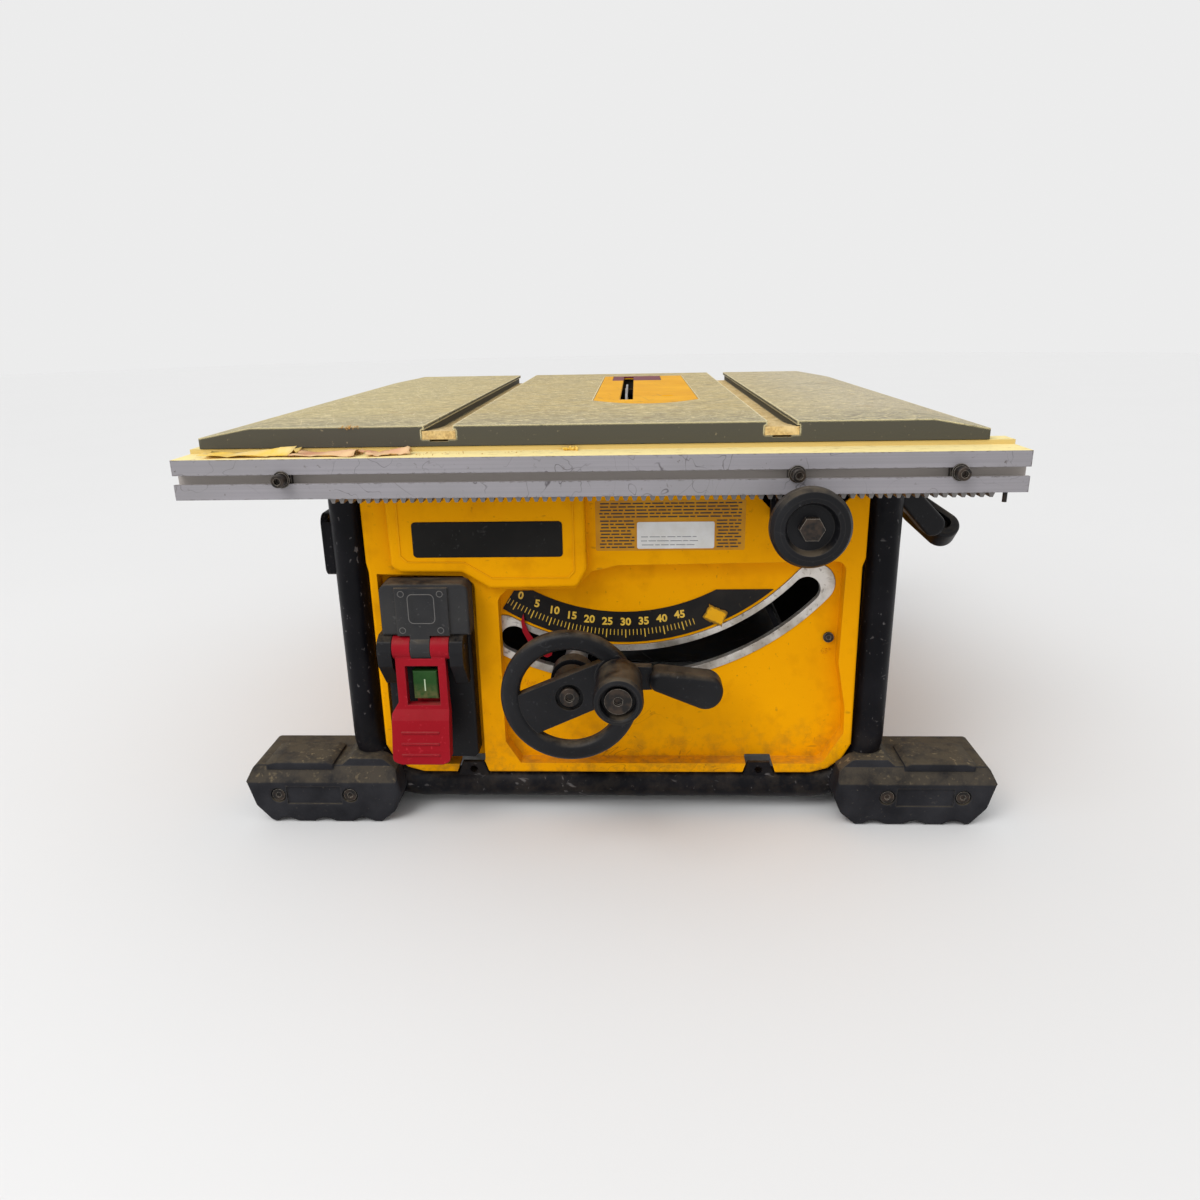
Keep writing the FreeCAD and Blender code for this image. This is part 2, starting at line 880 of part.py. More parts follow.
# ---------------------------------------------------------------- tubular frame


def u_tube_solid(name, y, radius):
    """One bent tube: two legs under the table and a cross tube near the floor."""
    x = dim.leg_middle.value
    z = dim.tube_height.value
    bend = dim.tube_bend.value
    top = TABLE_BOTTOM.value
    slant = bend * (1 - math.sqrt(0.5))
    path = [
        Part.makeLine(Vec(-x, y, top), Vec(-x, y, z + bend)),
        Part.Arc(
            Vec(-x, y, z + bend), Vec(-x + slant, y, z + slant), Vec(-x + bend, y, z)
        ).toShape(),
        Part.makeLine(Vec(-x + bend, y, z), Vec(x - bend, y, z)),
        Part.Arc(
            Vec(x - bend, y, z), Vec(x - slant, y, z + slant), Vec(x, y, z + bend)
        ).toShape(),
        Part.makeLine(Vec(x, y, z + bend), Vec(x, y, top)),
    ]
    spine = Part.Wire(path)
    section = Part.Wire([Part.makeCircle(radius, Vec(-x, y, top), Vec(0, 0, -1))])
    return shape_feature(name, spine.makePipeShell([section], True, False))


def panel_tabs(cross_tube):
    """Steel tabs welded to the cross tube that the panel's lower edge bolts to."""
    tabs = []
    for i, x in enumerate((-121, 120)):
        outline = [(x - 14, 29), (x + 14, 29), (x + 9, 44), (x - 9, 44)]
        plate = profile(f"tab_{i}_plate", "y", sized(-223), sized(-219.5), outline)
        hole = rod(f"tab_{i}_hole", "y", (x, -224, 37), 3.2, 6)
        tabs.append(cut(f"tab_{i}", plate, hole, cross_tube))
    return tabs


def make_frame():
    radius = dim.tube_radius
    bore = radius - dim.tube_wall
    legs = {}
    for side, y in (("front", dim.front_tube), ("rear", dim.rear_tube)):
        outside = u_tube_solid(f"{side}_tube_outside", y.value, radius.value)
        inside = u_tube_solid(f"{side}_tube_inside", y.value, bore.value)
        legs[side] = outside
        frame = cut(f"{side}_u_tube", outside, inside)
        if side == "front":
            frame = fuse("front_frame_whole", frame, *panel_tabs(outside))
        node(f"{side}_frame_tube", frame)
    runs = {}
    side_tubes = []
    for side, sign in (("left", -1), ("right", 1)):
        x = dim.side_tube_x * sign
        start = (x, dim.front_tube, dim.side_tube_height)
        length = dim.rear_tube - dim.front_tube
        run = rod(f"{side}_run_outside", "y", start, radius, length)
        inside = rod(f"{side}_run_inside", "y", start, bore, length)
        runs[side] = run
        hollow = cut(f"{side}_run", run, inside)
        side_tubes.append(cut(f"{side}_side_tube", hollow, legs["front"], legs["rear"]))
    node("side_frame_tubes", group("side_tube_group", side_tubes))
    return legs, runs


FOOT_FACE = -248
FOOT_DEPTH = 70
FOOT_OUTLINE = [
    (290, 0),
    (303, 15),
    (308.8, 37),
    (303, 50),
    (228, 50),
    (222, 55),
    (194, 55),
    (183, 46),
    (178, 27),
    (185, 10),
    (197, 0),
]
PAD_OUTLINE = [(292, 46), (292, 52), (284, 54), (240, 54), (235, 52), (235, 46)]


def facing(face, back, mirrored, near, far):
    """Two places measured inwards from a foot's outer face, low one first."""
    if mirrored:
        return back - far, back - near
    return face + near, face + far


def make_boot(label, sign, face, back, mirrored):
    """A rubber bar with rounded ends, a sloped shoulder and a pad on top."""
    outline = [(sign * x, z) for x, z in FOOT_OUTLINE]
    blank = profile(label + "_blank", "y", face, back, outline)
    for corners, radius in ((outline[:2] + outline[6:7], 8), (outline[2:4] + outline[8:10], 6)):
        blank = round_corners(f"{label}_{radius}", blank, "y", corners, radius)
    shoulder = [(0, 37), (-1, 37), (-1, 60), (10, 60), (8, 49)]
    tools = []
    for end, level in ((False, face), (True, back)):
        way = -1 if end else 1
        points = [(level + way * depth, z) for depth, z in shoulder]
        tools.append(profile(f"{label}_slope_{way}", "x", sized(-330), sized(330), points))
    bar = cut(f"{label}_bar", blank, *tools)
    for level in (face, back):
        bar = soften(f"{label}_edge", bar, "y", level, 3)
    pad = profile(
        f"{label}_pad",
        "y",
        *facing(face, back, mirrored, 5, 43),
        [(sign * x, z) for x, z in PAD_OUTLINE],
    )
    for level in facing(face, back, mirrored, 5, 43):
        pad = soften(f"{label}_pad_edge", pad, "y", level, 2)
    return fuse(f"{label}_body", bar, pad)


def make_feet(legs, runs):
    boots = []
    screws = []
    housing_room = box("housing_room", (-197.3, 197.3), (-225.6, 265.2), (34.6, 320))
    notch_radius = 13.4
    for end, mirrored in (("front", False), ("rear", True)):
        for side, sign in (("left", -1), ("right", 1)):
            label = f"foot_{end}_{side}"
            face = sized(FOOT_FACE)
            back = face + FOOT_DEPTH
            if mirrored:
                middle = dim.front_tube + dim.rear_tube
                face, back = middle - back, middle - face
            boot = make_boot(label, sign, face, back, mirrored)
            tools = [legs[end], runs[side], housing_room]
            for i, x in enumerate((212, 245, 277)):
                start = (sign * x, face - 1, 4.5 - notch_radius)
                length = back - face + 2
                tools.append(rod(f"{label}_notch_{i}", "y", start, notch_radius, length))
            for i, x in enumerate((221.6, 282.3)):
                low, high = facing(face, back, mirrored, 0, 3)
                tools.append(rod(f"{label}_recess_{i}", "y", (sign * x, low, 25.5), 6.6, high - low))
                low, high = facing(face, back, mirrored, 0.8, 3)
                head = rod(f"{label}_screw_{i}", "y", (sign * x, low, 25.5), 5.4, high - low)
                low, high = facing(face, back, mirrored, 0.8, 2)
                bit = rod(f"{label}_bit_{i}", "y", (sign * x, low, 25.5), 2.2, high - low)
                screws.append(cut(f"{label}_head_{i}", head, bit))
            plate_x = sorted((sign * 229, sign * 275))
            plate_y = facing(face, back, mirrored, 0, 1.2)
            tools.append(box(f"{label}_plate", plate_x, plate_y, (17.5, 33.5)))
            boots.append(cut(f"{label}_boot", boot, *tools))
    node("feet", group("foot_group", boots))
    return screws


# ---------------------------------------------------------------- housing


def make_front_panel():
    rim = dim.panel_rim
    floor = dim.panel_floor
    back = floor + dim.panel_skin
    # The lower corners follow the inside of the frame's bends.
    outline = [
        (-196.2, dim.panel_top),
        (-195.8, 220),
        (-194.3, 212),
        (-194.3, 60.5),
        (-188.5, 48),
        (-177, 39),
        (-163, dim.panel_bottom),
        (163, dim.panel_bottom),
        (177, 39),
        (188.5, 48),
        (195.3, 62),
        (193.6, 214),
        (195.8, 221),
        (195.5, dim.panel_top),
    ]
    blank = profile("panel_blank", "y", rim, back, outline)
    blank = soften("panel_rim_edge", blank, "y", rim, 2.5)
    pad = [
        (-174.4, 300),
        (-172.7, 219.4),
        (-165.8, 214.7),
        (-117.1, 214.4),
        (-96.4, 201.2),
        (-27.8, 201.9),
        (-19.8, 216.2),
        (-21.5, 300),
    ]
    raised = profile("pad_blank", "y", rim - 10, rim + 4, pad)
    raised = round_corners("pad_corners", raised, "y", pad[1:7], 6)
    raised = soften("pad_edge", raised, "y", rim - 10, 3)

    switch_bay = [(-187.5, 211), (-187.5, 66), (-176, 43), (-110, 43), (-110, 202), (-119, 209)]
    bay = profile("switch_bay", "y", rim - 1, floor, switch_bay)
    bay = round_corners("switch_bay_corners", bay, "y", switch_bay[3:5], 6)
    main = [
        (-92, 190),
        (-84, 198),
        (-30, 198),
        (-17, 212),
        (4, 217),
        (181, dim.band_bottom),
        (180, 134),
        (187.5, 94),
        (188, 72),
        (172, 44),
        (-80, 44),
        (-92, 64),
    ]
    recess = profile("main_recess", "y", rim - 1, floor, main)
    recess = round_corners("main_recess_corners", recess, "y", [main[0], main[5], main[9]], 8)
    band = [(-188, 226), (-188, 306), (188, 306), (188, 226)]
    hollow = profile("band_hollow", "y", rim + 3, back + 1, band)
    pad_room = profile(
        "pad_room", "y", rim - 7, rim + 4, [(-170, 226), (-170, 296), (-25, 296), (-25, 226)]
    )
    arc = arc_band("arc_window", (floor - 1, back + 1), 184.2, 218.3, -29.5, 48.6)
    notch = [(125, 256), (171, 260), (184, 272), (184, 313), (112, 313), (112, 270)]
    vee = profile("shaft_notch", "y", rim - 1, back + 1, notch)
    screw_hole = rod("panel_screw_hole", "y", (173.5, floor - 1, 151.8), 2.3, 6)
    switch_hole = box("switch_hole", (-170, -130), (floor - 1, back + 1), (80, 190))
    cover_room = box("cover_room", (-181.8, -110.8), (rim - 11, rim), (166, 209.8))
    webs = []
    for side, sign in (("left", -1), ("right", 1)):
        x = sorted((sign * 192.5, sign * 196.6))
        webs.append(box(f"{side}_panel_web", x, (floor, back + 4), (66, 300)))
    tools = [bay, recess, hollow, pad_room, arc, vee, screw_hole, switch_hole, cover_room]
    for i, x in enumerate((-121, 120)):
        gap = [(x - 15.5, 30), (x + 15.5, 30), (x + 10.5, 45.5), (x - 10.5, 45.5)]
        tools.append(profile(f"tab_gap_{i}", "y", rim - 1, back + 1, gap))
    whole = fuse("panel_whole", blank, raised, *webs)
    node("front_panel", cut("front_panel_cut", whole, *tools))
    head = rod("panel_screw_head", "y", (173.5, floor - 2.2, 151.8), 4.25, 2.2)
    bit = rod("panel_screw_bit", "y", (173.5, floor - 2.3, 151.8), 1.9, 1.4)
    stem = rod("panel_screw_stem", "y", (173.5, floor, 151.8), 2.25, 6)
    return cut("panel_screw_cut", fuse("panel_screw_whole", head, stem), bit)


def make_bevel_arc():
    """Steel quadrant the carriage locks to, and the scale beside it."""
    floor = dim.panel_floor
    back = floor + dim.panel_skin
    flange = arc_band("quadrant_flange", (back, back + 2.5), 176, 226, -31, 50)
    lip = arc_band("quadrant_lip", (floor - 1, back + 1), 184.5, 218, -29.5, 48.6)
    slot = arc_band(
        "quadrant_slot",
        (floor - 2, back + 4),
        dim.arc_inner,
        dim.arc_outer,
        dim.arc_left,
        dim.arc_right,
    )
    whole = fuse("quadrant_whole", flange, lip)
    node("bevel_quadrant", cut("quadrant", whole, slot))
    band = arc_band("scale_band", (floor - 0.8, floor), 156, 182, -33, 42, caps=False)
    below = box("scale_below", (-150, 200), (floor - 2, floor + 1), (100, 192.5))
    node("bevel_scale", common("scale_plate", band, below))


def vents(name, x, middle_y, middle_z):
    """A column of level cooling slots in a side wall."""
    slots = []
    for i in range(7):
        z = middle_z + (i - 3) * 14
        slots.append(box(f"{name}_{i}", x, (middle_y - 45, middle_y + 45), (z - 2.5, z + 2.5)))
    return slots


WALL_BOTTOM = 56


def make_side_panels():
    floor = dim.panel_floor
    front = floor + dim.panel_skin
    back = 258.5
    walls = []
    for side, x in (("left", (-192, -189)), ("right", (189, 192))):
        wall = box(f"{side}_wall", x, (front, sized(back)), (WALL_BOTTOM, dim.panel_top))
        outside = x[0] - 3 if side == "left" else x[1]
        rib_x = (outside, outside + 3)
        rib_frame = box(f"{side}_rib_outer", rib_x, (-150, 200), (75, 285))
        rib_inner = box(
            f"{side}_rib_inner", (rib_x[0] - 1, rib_x[1] + 1), (-143, 193), (82, 278)
        )
        frame = cut(f"{side}_rib_frame", rib_frame, rib_inner)
        reach = (min(x[0], outside) - 1, max(x[1], outside + 3) + 1)
        slots = vents(f"{side}_vent", reach, 95, 190)
        walls.append(cut(f"{side}_panel", fuse(f"{side}_skin", wall, frame), *slots))
    node("side_panels", group("side_panel_group", walls))


DUST_X = -12
DUST_Z = 122
GLAND_X = -160
GLAND_Z = 80


def make_rear_panel():
    y = (258.5, 261.5)
    outline = [
        (-192, dim.panel_top),
        (-192, 60),
        (-178, 42),
        (178, 42),
        (192, 60),
        (192, dim.panel_top),
    ]
    wall = profile("rear_wall", "y", sized(y[0]), sized(y[1]), outline)
    port = rod("rear_port_hole", "y", (DUST_X, 250, DUST_Z), 34.5, 20)
    shaft = rod("rear_shaft_hole", "y", (dim.pinion_middle, 250, dim.pinion_height), 9, 20)
    gland_hole = rod("rear_gland_hole", "y", (GLAND_X, 250, GLAND_Z), 9, 20)
    slots = []
    for i in range(6):
        x = 60 + i * 16
        slots.append(box(f"rear_vent_{i}", (x - 3, x + 3), (250, 270), (150, 215)))
    frame = cut(
        "rear_rib",
        box("rear_rib_outer", (-140, 175), (y[1], y[1] + 3), (60, 240)),
        box("rear_rib_inner", (-133, 168), (y[1] - 1, y[1] + 4), (67, 233)),
    )
    skin = fuse("rear_skin", wall, frame)
    node("rear_panel", cut("rear_panel_cut", skin, port, shaft, gland_hole, *slots))
    outside = rod("dust_outside", "y", (DUST_X, 256, DUST_Z), 31.75, 46)
    flange = rod("dust_flange", "y", (DUST_X, 255.5, DUST_Z), 40, 3)
    collar = rod("dust_collar", "y", (DUST_X, 258, DUST_Z), 34.5, 4)
    bore = rod("dust_bore", "y", (DUST_X, 250, DUST_Z), 29, 60)
    whole = fuse("dust_whole", outside, flange, collar)
    node("dust_port", cut("dust_port_cut", whole, bore))
    sleeve = rod("gland_sleeve", "y", (GLAND_X, 256, GLAND_Z), 9, 8)
    collar = rod("gland_collar", "y", (GLAND_X, 261.5, GLAND_Z), 13, 5)
    nose = cone("gland_nose", "y", (GLAND_X, 266.5, GLAND_Z), 10, 7, 14)
    gland_bore = rod("gland_bore", "y", (GLAND_X, 250, GLAND_Z), 4.2, 40)
    gland = fuse("gland_whole", sleeve, collar, nose)
    node("cord_gland", cut("cord_gland_cut", gland, gland_bore))


def make_storage_bracket(legs):
    """Flat hook on the outside of the left front leg."""
    plate = box("bracket_plate", (-232, -226), (-214, -128), (206, 257))
    plate = round_corners(
        "bracket_round", plate, "x", [(-128, 206), (-128, 257), (-214, 206), (-214, 257)], 8
    )
    arm = box("bracket_arm", (-227, -216), (-218, -203), (210, 252))
    node("storage_bracket", cut("bracket_cut", fuse("bracket_whole", plate, arm), legs["front"]))


BARREL_Y = -243.2
BARREL_Z = 156.6
BARREL_RADIUS = 9.8


def make_switch():
    front = -228
    base_outline = [(-185, 62), (-176, 51), (-118, 51), (-115, 54), (-115, 205), (-185, 205)]
    base = profile("switch_base", "y", sized(front), dim.panel_floor, base_outline)
    base = round_corners("switch_base_corners", base, "y", base_outline[4:6], 6)
    base = soften("switch_base_edge", base, "y", front, 2)
    box_back = box("switch_body", (-168, -132), (dim.panel_floor - 1, -175), (84, 186))
    ears = []
    ear_side = [
        (front + 1, 122),
        (-235, 122),
        (-252, 143),
        (-253.5, 155),
        (-251, 163),
        (-244, 167),
        (front + 1, 167),
    ]
    for i, x in enumerate(((-185, -173.9), (-127.9, -117.4))):
        ear = profile(f"switch_ear_{i}", "x", sized(x[0]), sized(x[1]), ear_side)
        ear = round_corners(f"switch_ear_round_{i}", ear, "x", ear_side[2:6], 2.5)
        ears.append(ear)
    pin_hole = rod("switch_pin_hole", "x", (-190, BARREL_Y, BARREL_Z), 2.5, 80)
    start_hole = box("start_guide", (-160.4, -138.7), (-260, -190), (113.2, 138.8))
    stop_hole = box("stop_guide", (-160.4, -138.7), (-260, -190), (88.2, 112.2))
    whole = fuse("switch_whole", base, box_back, *ears)
    node("switch_housing", cut("switch_housing_cut", whole, pin_hole, start_hole, stop_hole))

    cover = box("switch_cover_block", (-181, -111.6), (-247, front), (167.3, 209))
    cover = round_corners("switch_cover_round", cover, "y", [(-181, 209), (-111.6, 209)], 7)
    cover = soften("switch_cover_edge", cover, "y", -247, 2)
    plate = box("switch_cover_plate", (-168.5, -127), (-249, -240), (167.3, 206.5))
    plate = soften("switch_cover_plate_edge", plate, "y", -249, 0.8)
    knuckle = rod("switch_knuckle", "x", (-158.7, BARREL_Y, BARREL_Z), BARREL_RADIUS, 15.4)
    bridge = box("switch_bridge", (-158.7, -143.3), (-249, -236), (157, 169))
    knuckle_bore = rod("switch_knuckle_bore", "x", (-160, BARREL_Y, BARREL_Z), 2.5, 20)
    upper = fuse("switch_upper", cover, plate, knuckle, bridge)
    node("switch_cover", cut("switch_cover_cut", upper, knuckle_bore))
    return rod("paddle_pin", "x", (-183, BARREL_Y, BARREL_Z), 2.45, 65)


def make_paddle():
    """Red stop paddle: two hinge barrels, a window and a flared grip."""
    x_left, x_right = -171.8, -131.9
    side = [
        (-239.5, 153.6),
        (-250.5, 155.6),
        (-250.8, 118),
        (-251.5, 106),
        (-256, 98),
        (-261.5, 74),
        (-262, 62),
        (-256, 59.8),
        (-251, 66),
        (-244.5, 98),
        (-243.4, 110),
        (-243.4, 146),
    ]
    blade = profile("paddle_side", "x", sized(-177.5), sized(-131.3), side)
    blade = round_corners("paddle_round", blade, "x", [side[5], side[6], side[7]], 1.6)
    front_view = [
        (x_left, 157.6),
        (x_left, 112),
        (-177.5, 103),
        (-177.5, 65),
        (-166, 59.9),
        (-142, 59.9),
        (-131.3, 65),
        (-131.3, 103),
        (x_right, 112),
        (x_right, 157.6),
    ]
    shape = profile("paddle_front", "y", sized(-270), sized(-230), front_view)
    shape = round_corners("paddle_front_round", shape, "y", front_view[3:7], 4)
    plate = common("paddle_plate", blade, shape)
    barrels = []
    for i, x in enumerate(((-173.2, -159.0), (-143.0, -128.4))):
        start = (x[0], BARREL_Y, BARREL_Z)
        barrels.append(rod(f"paddle_barrel_{i}", "x", start, BARREL_RADIUS, x[1] - x[0]))
    window = box("paddle_window", (-164.6, -138.2), (-270, -230), (109.6, 142.8))
    bore = rod("paddle_bore", "x", (-190, BARREL_Y, BARREL_Z), 2.45 + dim.running, 80)
    room = rod("paddle_knuckle_room", "x", (-159.1, BARREL_Y, BARREL_Z), BARREL_RADIUS + 0.6, 16.2)
    ribs = []
    for i, z in enumerate((70, 79, 88)):
        ribs.append(box(f"paddle_rib_{i}", (-170, -139.5), (-263.2, -250), (z, z + 1.2)))
    rib_side = [(y - 0.9, z) for y, z in side]
    rib_limit = profile("paddle_rib_limit", "x", sized(-170), sized(-139.5), rib_side)
    raised = common("paddle_ribs", fuse("paddle_rib_bars", *ribs), rib_limit)
    whole = fuse("paddle_whole", plate, raised, *barrels)
    node("stop_paddle", cut("paddle_cut", whole, window, bore, room))


def make_buttons():
    start = box("start_button_block", (-159.4, -139.7), (-249, -215), (114, 138))
    start = soften("start_button_edge", start, "y", -249, 1.6)
    node("start_button", start)
    stop = box("stop_button_block", (-159.4, -139.7), (-240.6, -215), (89, 111.4))
    node("stop_button", soften("stop_button_edge", stop, "y", -240.6, 1.2))


# ---------------------------------------------------------------- tilting carriage

FRONT_PLATE = (-177, -172)
REAR_PLATE = (225, 230)
BEAM_X = (-48.5, -35.8)


def trunnion(side, y, groove_y):
    """Fixed arc bracket under the table; the carriage's tongue rides in it."""
    band = arc_band(f"{side}_arc", y, 50, 85, -80, 80, caps=False)
    flange = box(f"{side}_flange", (-76, 93), y, (309, TABLE_BOTTOM))
    groove = arc_band(f"{side}_groove", groove_y, 61.6, 72.4, -81, 81, caps=False)
    above = box(f"{side}_arc_above", (-90, 107), (y[0] - 1, y[1] + 1), (TABLE_BOTTOM, 330))
    return cut(f"{side}_trunnion", fuse(f"{side}_block", band, flange), groove, above)


def make_trunnions():
    front = trunnion("front", (-193, -179), (-186.6, -178))
    rear = trunnion("rear", (232, 246), (231, 239.6))
    node("trunnions", group("trunnion_group", [front, rear]))


def end_plate(side, y, tongue_y):
    """Carriage end plate with the arc tongue it hangs from."""
    outline = [
        (-58, 292),
        (-30, 292),
        (8, 262),
        (8, 246),
        (-6, 150),
        (-6, 94),
        (-66, 94),
        (-68, 150),
        (-60, 200),
    ]
    plate = profile(f"{side}_plate_leg", "y", sized(y[0]), sized(y[1]), outline)
    plate = round_corners(f"{side}_plate_round", plate, "y", outline[4:8], 6)
    band = arc_band(f"{side}_plate_band", y, 50, 80, -70, 18, caps=False)
    tongue = arc_band(f"{side}_tongue", tongue_y, 62, 72, -75, 25, caps=False)
    return fuse(f"{side}_end_whole", plate, band, tongue)


def make_carriage():
    front = end_plate("front", FRONT_PLATE, (-186, -176))
    rear = end_plate("rear", REAR_PLATE, (229, 239))
    hole = rod("housing_seat", "y", (dim.wheel_x, -180, dim.wheel_z), 9.4, 12)
    node("carriage_plates", group("end_plate_group", [cut("carriage_front", front, hole), rear]))
    span = (FRONT_PLATE[1], REAR_PLATE[0])
    spine = box("spine_block", (-52.5, -24), span, (98, 116))
    spine_room = box("spine_lightening", (-49.5, -27), (-120, 215), (97, 112))
    front_upper = box("front_beam_block", BEAM_X, (span[0], -80), (280, 290))
    rear_upper = box("rear_beam_block", BEAM_X, (174, span[1]), (280, 290))
    tab = box("upper_beam_tab", (-40, -23), (-143, -127), (280, 290))
    rods = []
    for i, y in enumerate((-93, 187)):
        rods.append(rod(f"guide_rod_{i}", "z", (dim.rod_x, y, 112), dim.rod_radius, 178))
    seat = rod("screw_seat", "z", (dim.wheel_x, dim.screw_y, 90), 4 + dim.running, 30)
    upper_seat = rod("screw_upper_seat", "z", (dim.wheel_x, dim.screw_y, 275), 4 + dim.running, 20)
    lower_beam = cut("spine", spine, spine_room, seat, *rods)
    front_beam = cut("front_beam", fuse("front_beam_whole", front_upper, tab), upper_seat, *rods)
    rear_beam = cut("rear_beam", rear_upper, *rods)
    node("carriage_beams", group("beam_group", [lower_beam, front_beam, rear_beam]))
    node("guide_rods", group("guide_rod_group", rods))
    housing_length = 105
    housing = tube(
        "housing_sleeve",
        "y",
        (dim.wheel_x, -259, dim.wheel_z),
        9.4,
        dim.wheel_shaft_radius + dim.running,
        housing_length,
    )
    node("shaft_housing", housing)
    make_pointer()


def make_pointer():
    """Curved red finger that leaves the slot and points at the scale."""
    y = (-214.4, -212.6)
    inner = [(203, -20.2), (198, -23.4), (191, -25.9), (183, -27.4), (176.5, -27.7)]
    outer = [(183.5, -26.3), (190, -24.3), (196, -21.6), (198.6, -19.0), (198, -17.6), (202, -17.4)]
    outline = [arc_point(r, a) for r, a in inner + outer]
    finger = profile("pointer_finger", "y", sized(y[0]), sized(y[1]), outline)
    x, z = arc_point(200.6, -18.6)
    foot = rod("pointer_foot", "y", (x, y[0], z), 4.2, FRONT_PLATE[0] - y[0])
    node("bevel_pointer", fuse("pointer_whole", finger, foot))


def make_bevel_lock():
    """Paddle lever that turns on the shaft housing behind the handwheel."""
    x, z = dim.wheel_x, dim.wheel_z
    hub = rod("lock_hub", "y", (x, -256, z), 17, 13)
    arm = [(-28, 144), (30, 143), (30, 124), (-28, 122)]
    neck = profile("lock_neck", "y", sized(-254), sized(-246), arm)
    paddle = stadium("bevel_paddle", (-264, -241), (36.5, 133), 9, (71, 124), 14)
    paddle = soften("lock_paddle_front", paddle, "y", -264, 6)
    paddle = soften("lock_paddle_rear", paddle, "y", -241, 5)
    bore = rod("lock_bore", "y", (x, -270, z), 9.4 + dim.running, 30)
    node("bevel_lock_lever", cut("bevel_lever", fuse("lever_whole", hub, neck, paddle), bore))


# ---------------------------------------------------------------- handwheel

APEX_DROP = 14


def make_handwheel():
    x, z = dim.wheel_x, dim.wheel_z
    front, thick = dim.wheel_front, dim.wheel_thick
    outer = rod("wheel_outer", "y", (x, front, z), dim.wheel_radius, thick)
    inner = rod("wheel_inner", "y", (x, front - 1, z), dim.wheel_radius - 14, thick + 2)
    rim = cut("wheel_rim", outer, inner)
    rim = soften("wheel_rim_front", rim, "y", front, 5.5)
    rim = soften("wheel_rim_back", rim, "y", front + thick, 5.5)
    # The spoke runs through the hub towards the crank.
    dx = (dim.crank_x - x).value
    dz = (dim.crank_z - z).value
    reach = math.hypot(dx, dz)
    along = Vec(dx / reach, 0, dz / reach)
    across = Vec(-dz / reach, 0, dx / reach)
    spoke_points = []
    for distance, width in ((-44, 17), (44, 16)):
        spoke_points.append((distance, width))
    upper = [along * d + across * w for d, w in spoke_points]
    lower = [along * d - across * w for d, w in reversed(spoke_points)]
    outline = [(x + p.x, z + p.z) for p in upper + lower]
    spoke = profile("wheel_spoke", "y", front + 3, front + thick - 2, outline)
    hub = rod("wheel_hub", "y", (x, front + 3, z), 14.5, 30.5)
    boss = rod("wheel_boss", "y", (dim.crank_x, front + 0.5, dim.crank_z), 18, thick - 1)
    limit = rod("wheel_limit", "y", (x, front - 1, z), dim.wheel_radius - 1, 40)
    web = common("wheel_web", fuse("wheel_arms", spoke, hub, boss), limit)
    body = fuse("wheel_body", rim, web)
    recess = rod("wheel_recess", "y", (x, front - 1, z), 10.5, 8)
    bore = rod("wheel_bore", "y", (x, front - 1, z), dim.wheel_shaft_radius, 50)
    pin_hole = rod("wheel_pin_hole", "y", (dim.crank_x, front - 1, dim.crank_z), 4, 20)
    node("handwheel", cut("handwheel_cut", body, recess, bore, pin_hole))

    head = rod("hub_bolt_head", "y", (x, front + 2.5, z), 7.5, 4.5)
    head = soften("hub_bolt_crown", head, "y", front + 2.5, 1)
    socket = rod("hub_bolt_socket", "y", (x, front + 2, z), 3.4, 3.5)
    hub_bolt = cut("hub_bolt", head, socket)
    gear_y = dim.screw_y - APEX_DROP
    start = front + 7
    length = gear_y + 5.5 - start
    shaft = rod("wheel_shaft_bar", "y", (x, start, z), dim.wheel_shaft_radius, length)
    gear = bevel_gear(APEX_DROP, 14, 6, dim.wheel_shaft_radius.value, 0.36)
    apex = Vec(x.value, dim.screw_y.value, z.value)
    towards_front = FreeCAD.Rotation(Vec(1, 0, 0), 90)
    pressed_on = shape_feature("wheel_gear", gear, FreeCAD.Placement(apex, towards_front))
    node("wheel_shaft", fuse("wheel_shaft_whole", shaft, pressed_on))

    # Crank handle, free to spin on its shoulder bolt.
    crank_x, crank_z = dim.crank_x, dim.crank_z
    length = 43.5
    outline = [
        (4 + dim.running, 8),
        (12, 8),
        (12.8, 1),
        (14.2, 0),
        (16.6, 1.2),
        (17.8, 4.5),
        (17.6, 12),
        (16.6, 36),
        (17, 41),
        (16.2, length),
        (4 + dim.running, length),
    ]
    start = (crank_x, front - length - 0.4, crank_z)
    node("crank_handle", turned("crank_grip", "y", start, outline))
    bolt = rod("crank_bolt_stem", "y", (crank_x, front - length + 6, crank_z), 4, length + 3)
    bolt_head = rod("crank_bolt_head", "y", (crank_x, front - length + 3.2, crank_z), 9.6, 3.9)
    bolt_socket = rod("crank_bolt_socket", "y", (crank_x, front - length + 3, crank_z), 3.2, 3)
    whole = fuse("crank_bolt_whole", bolt, bolt_head)
    crank_bolt = cut("crank_bolt", whole, bolt_socket)
    node("handwheel_bolts", group("handwheel_bolt_group", [hub_bolt, crank_bolt]))


def make_lift():
    """Bevel gears and the screw that raises the blade."""
    x, z = dim.wheel_x.value, dim.wheel_z.value
    apex = Vec(x, dim.screw_y.value, z)
    screw_gear = bevel_gear(APEX_DROP, 14, 6, 4, 0.36)
    # A tooth points at the wheel shaft, into a gap of its gear.
    turn = FreeCAD.Rotation(Vec(0, 0, 1), 90)
    gear = shape_feature("screw_gear", screw_gear, FreeCAD.Placement(apex, turn))
    thread_low = z + APEX_DROP + 4
    journal = rod("lift_journal", "z", (dim.wheel_x, dim.screw_y, 100), 4, 189)
    thread_top = 279.6
    start = (dim.wheel_x, dim.screw_y, thread_low)
    thread = rod("lift_thread", "z", start, dim.screw_radius, thread_top - thread_low)
    node("lift_screw", fuse("lift_screw_whole", journal, thread, gear))


# ---------------------------------------------------------------- blade carriage


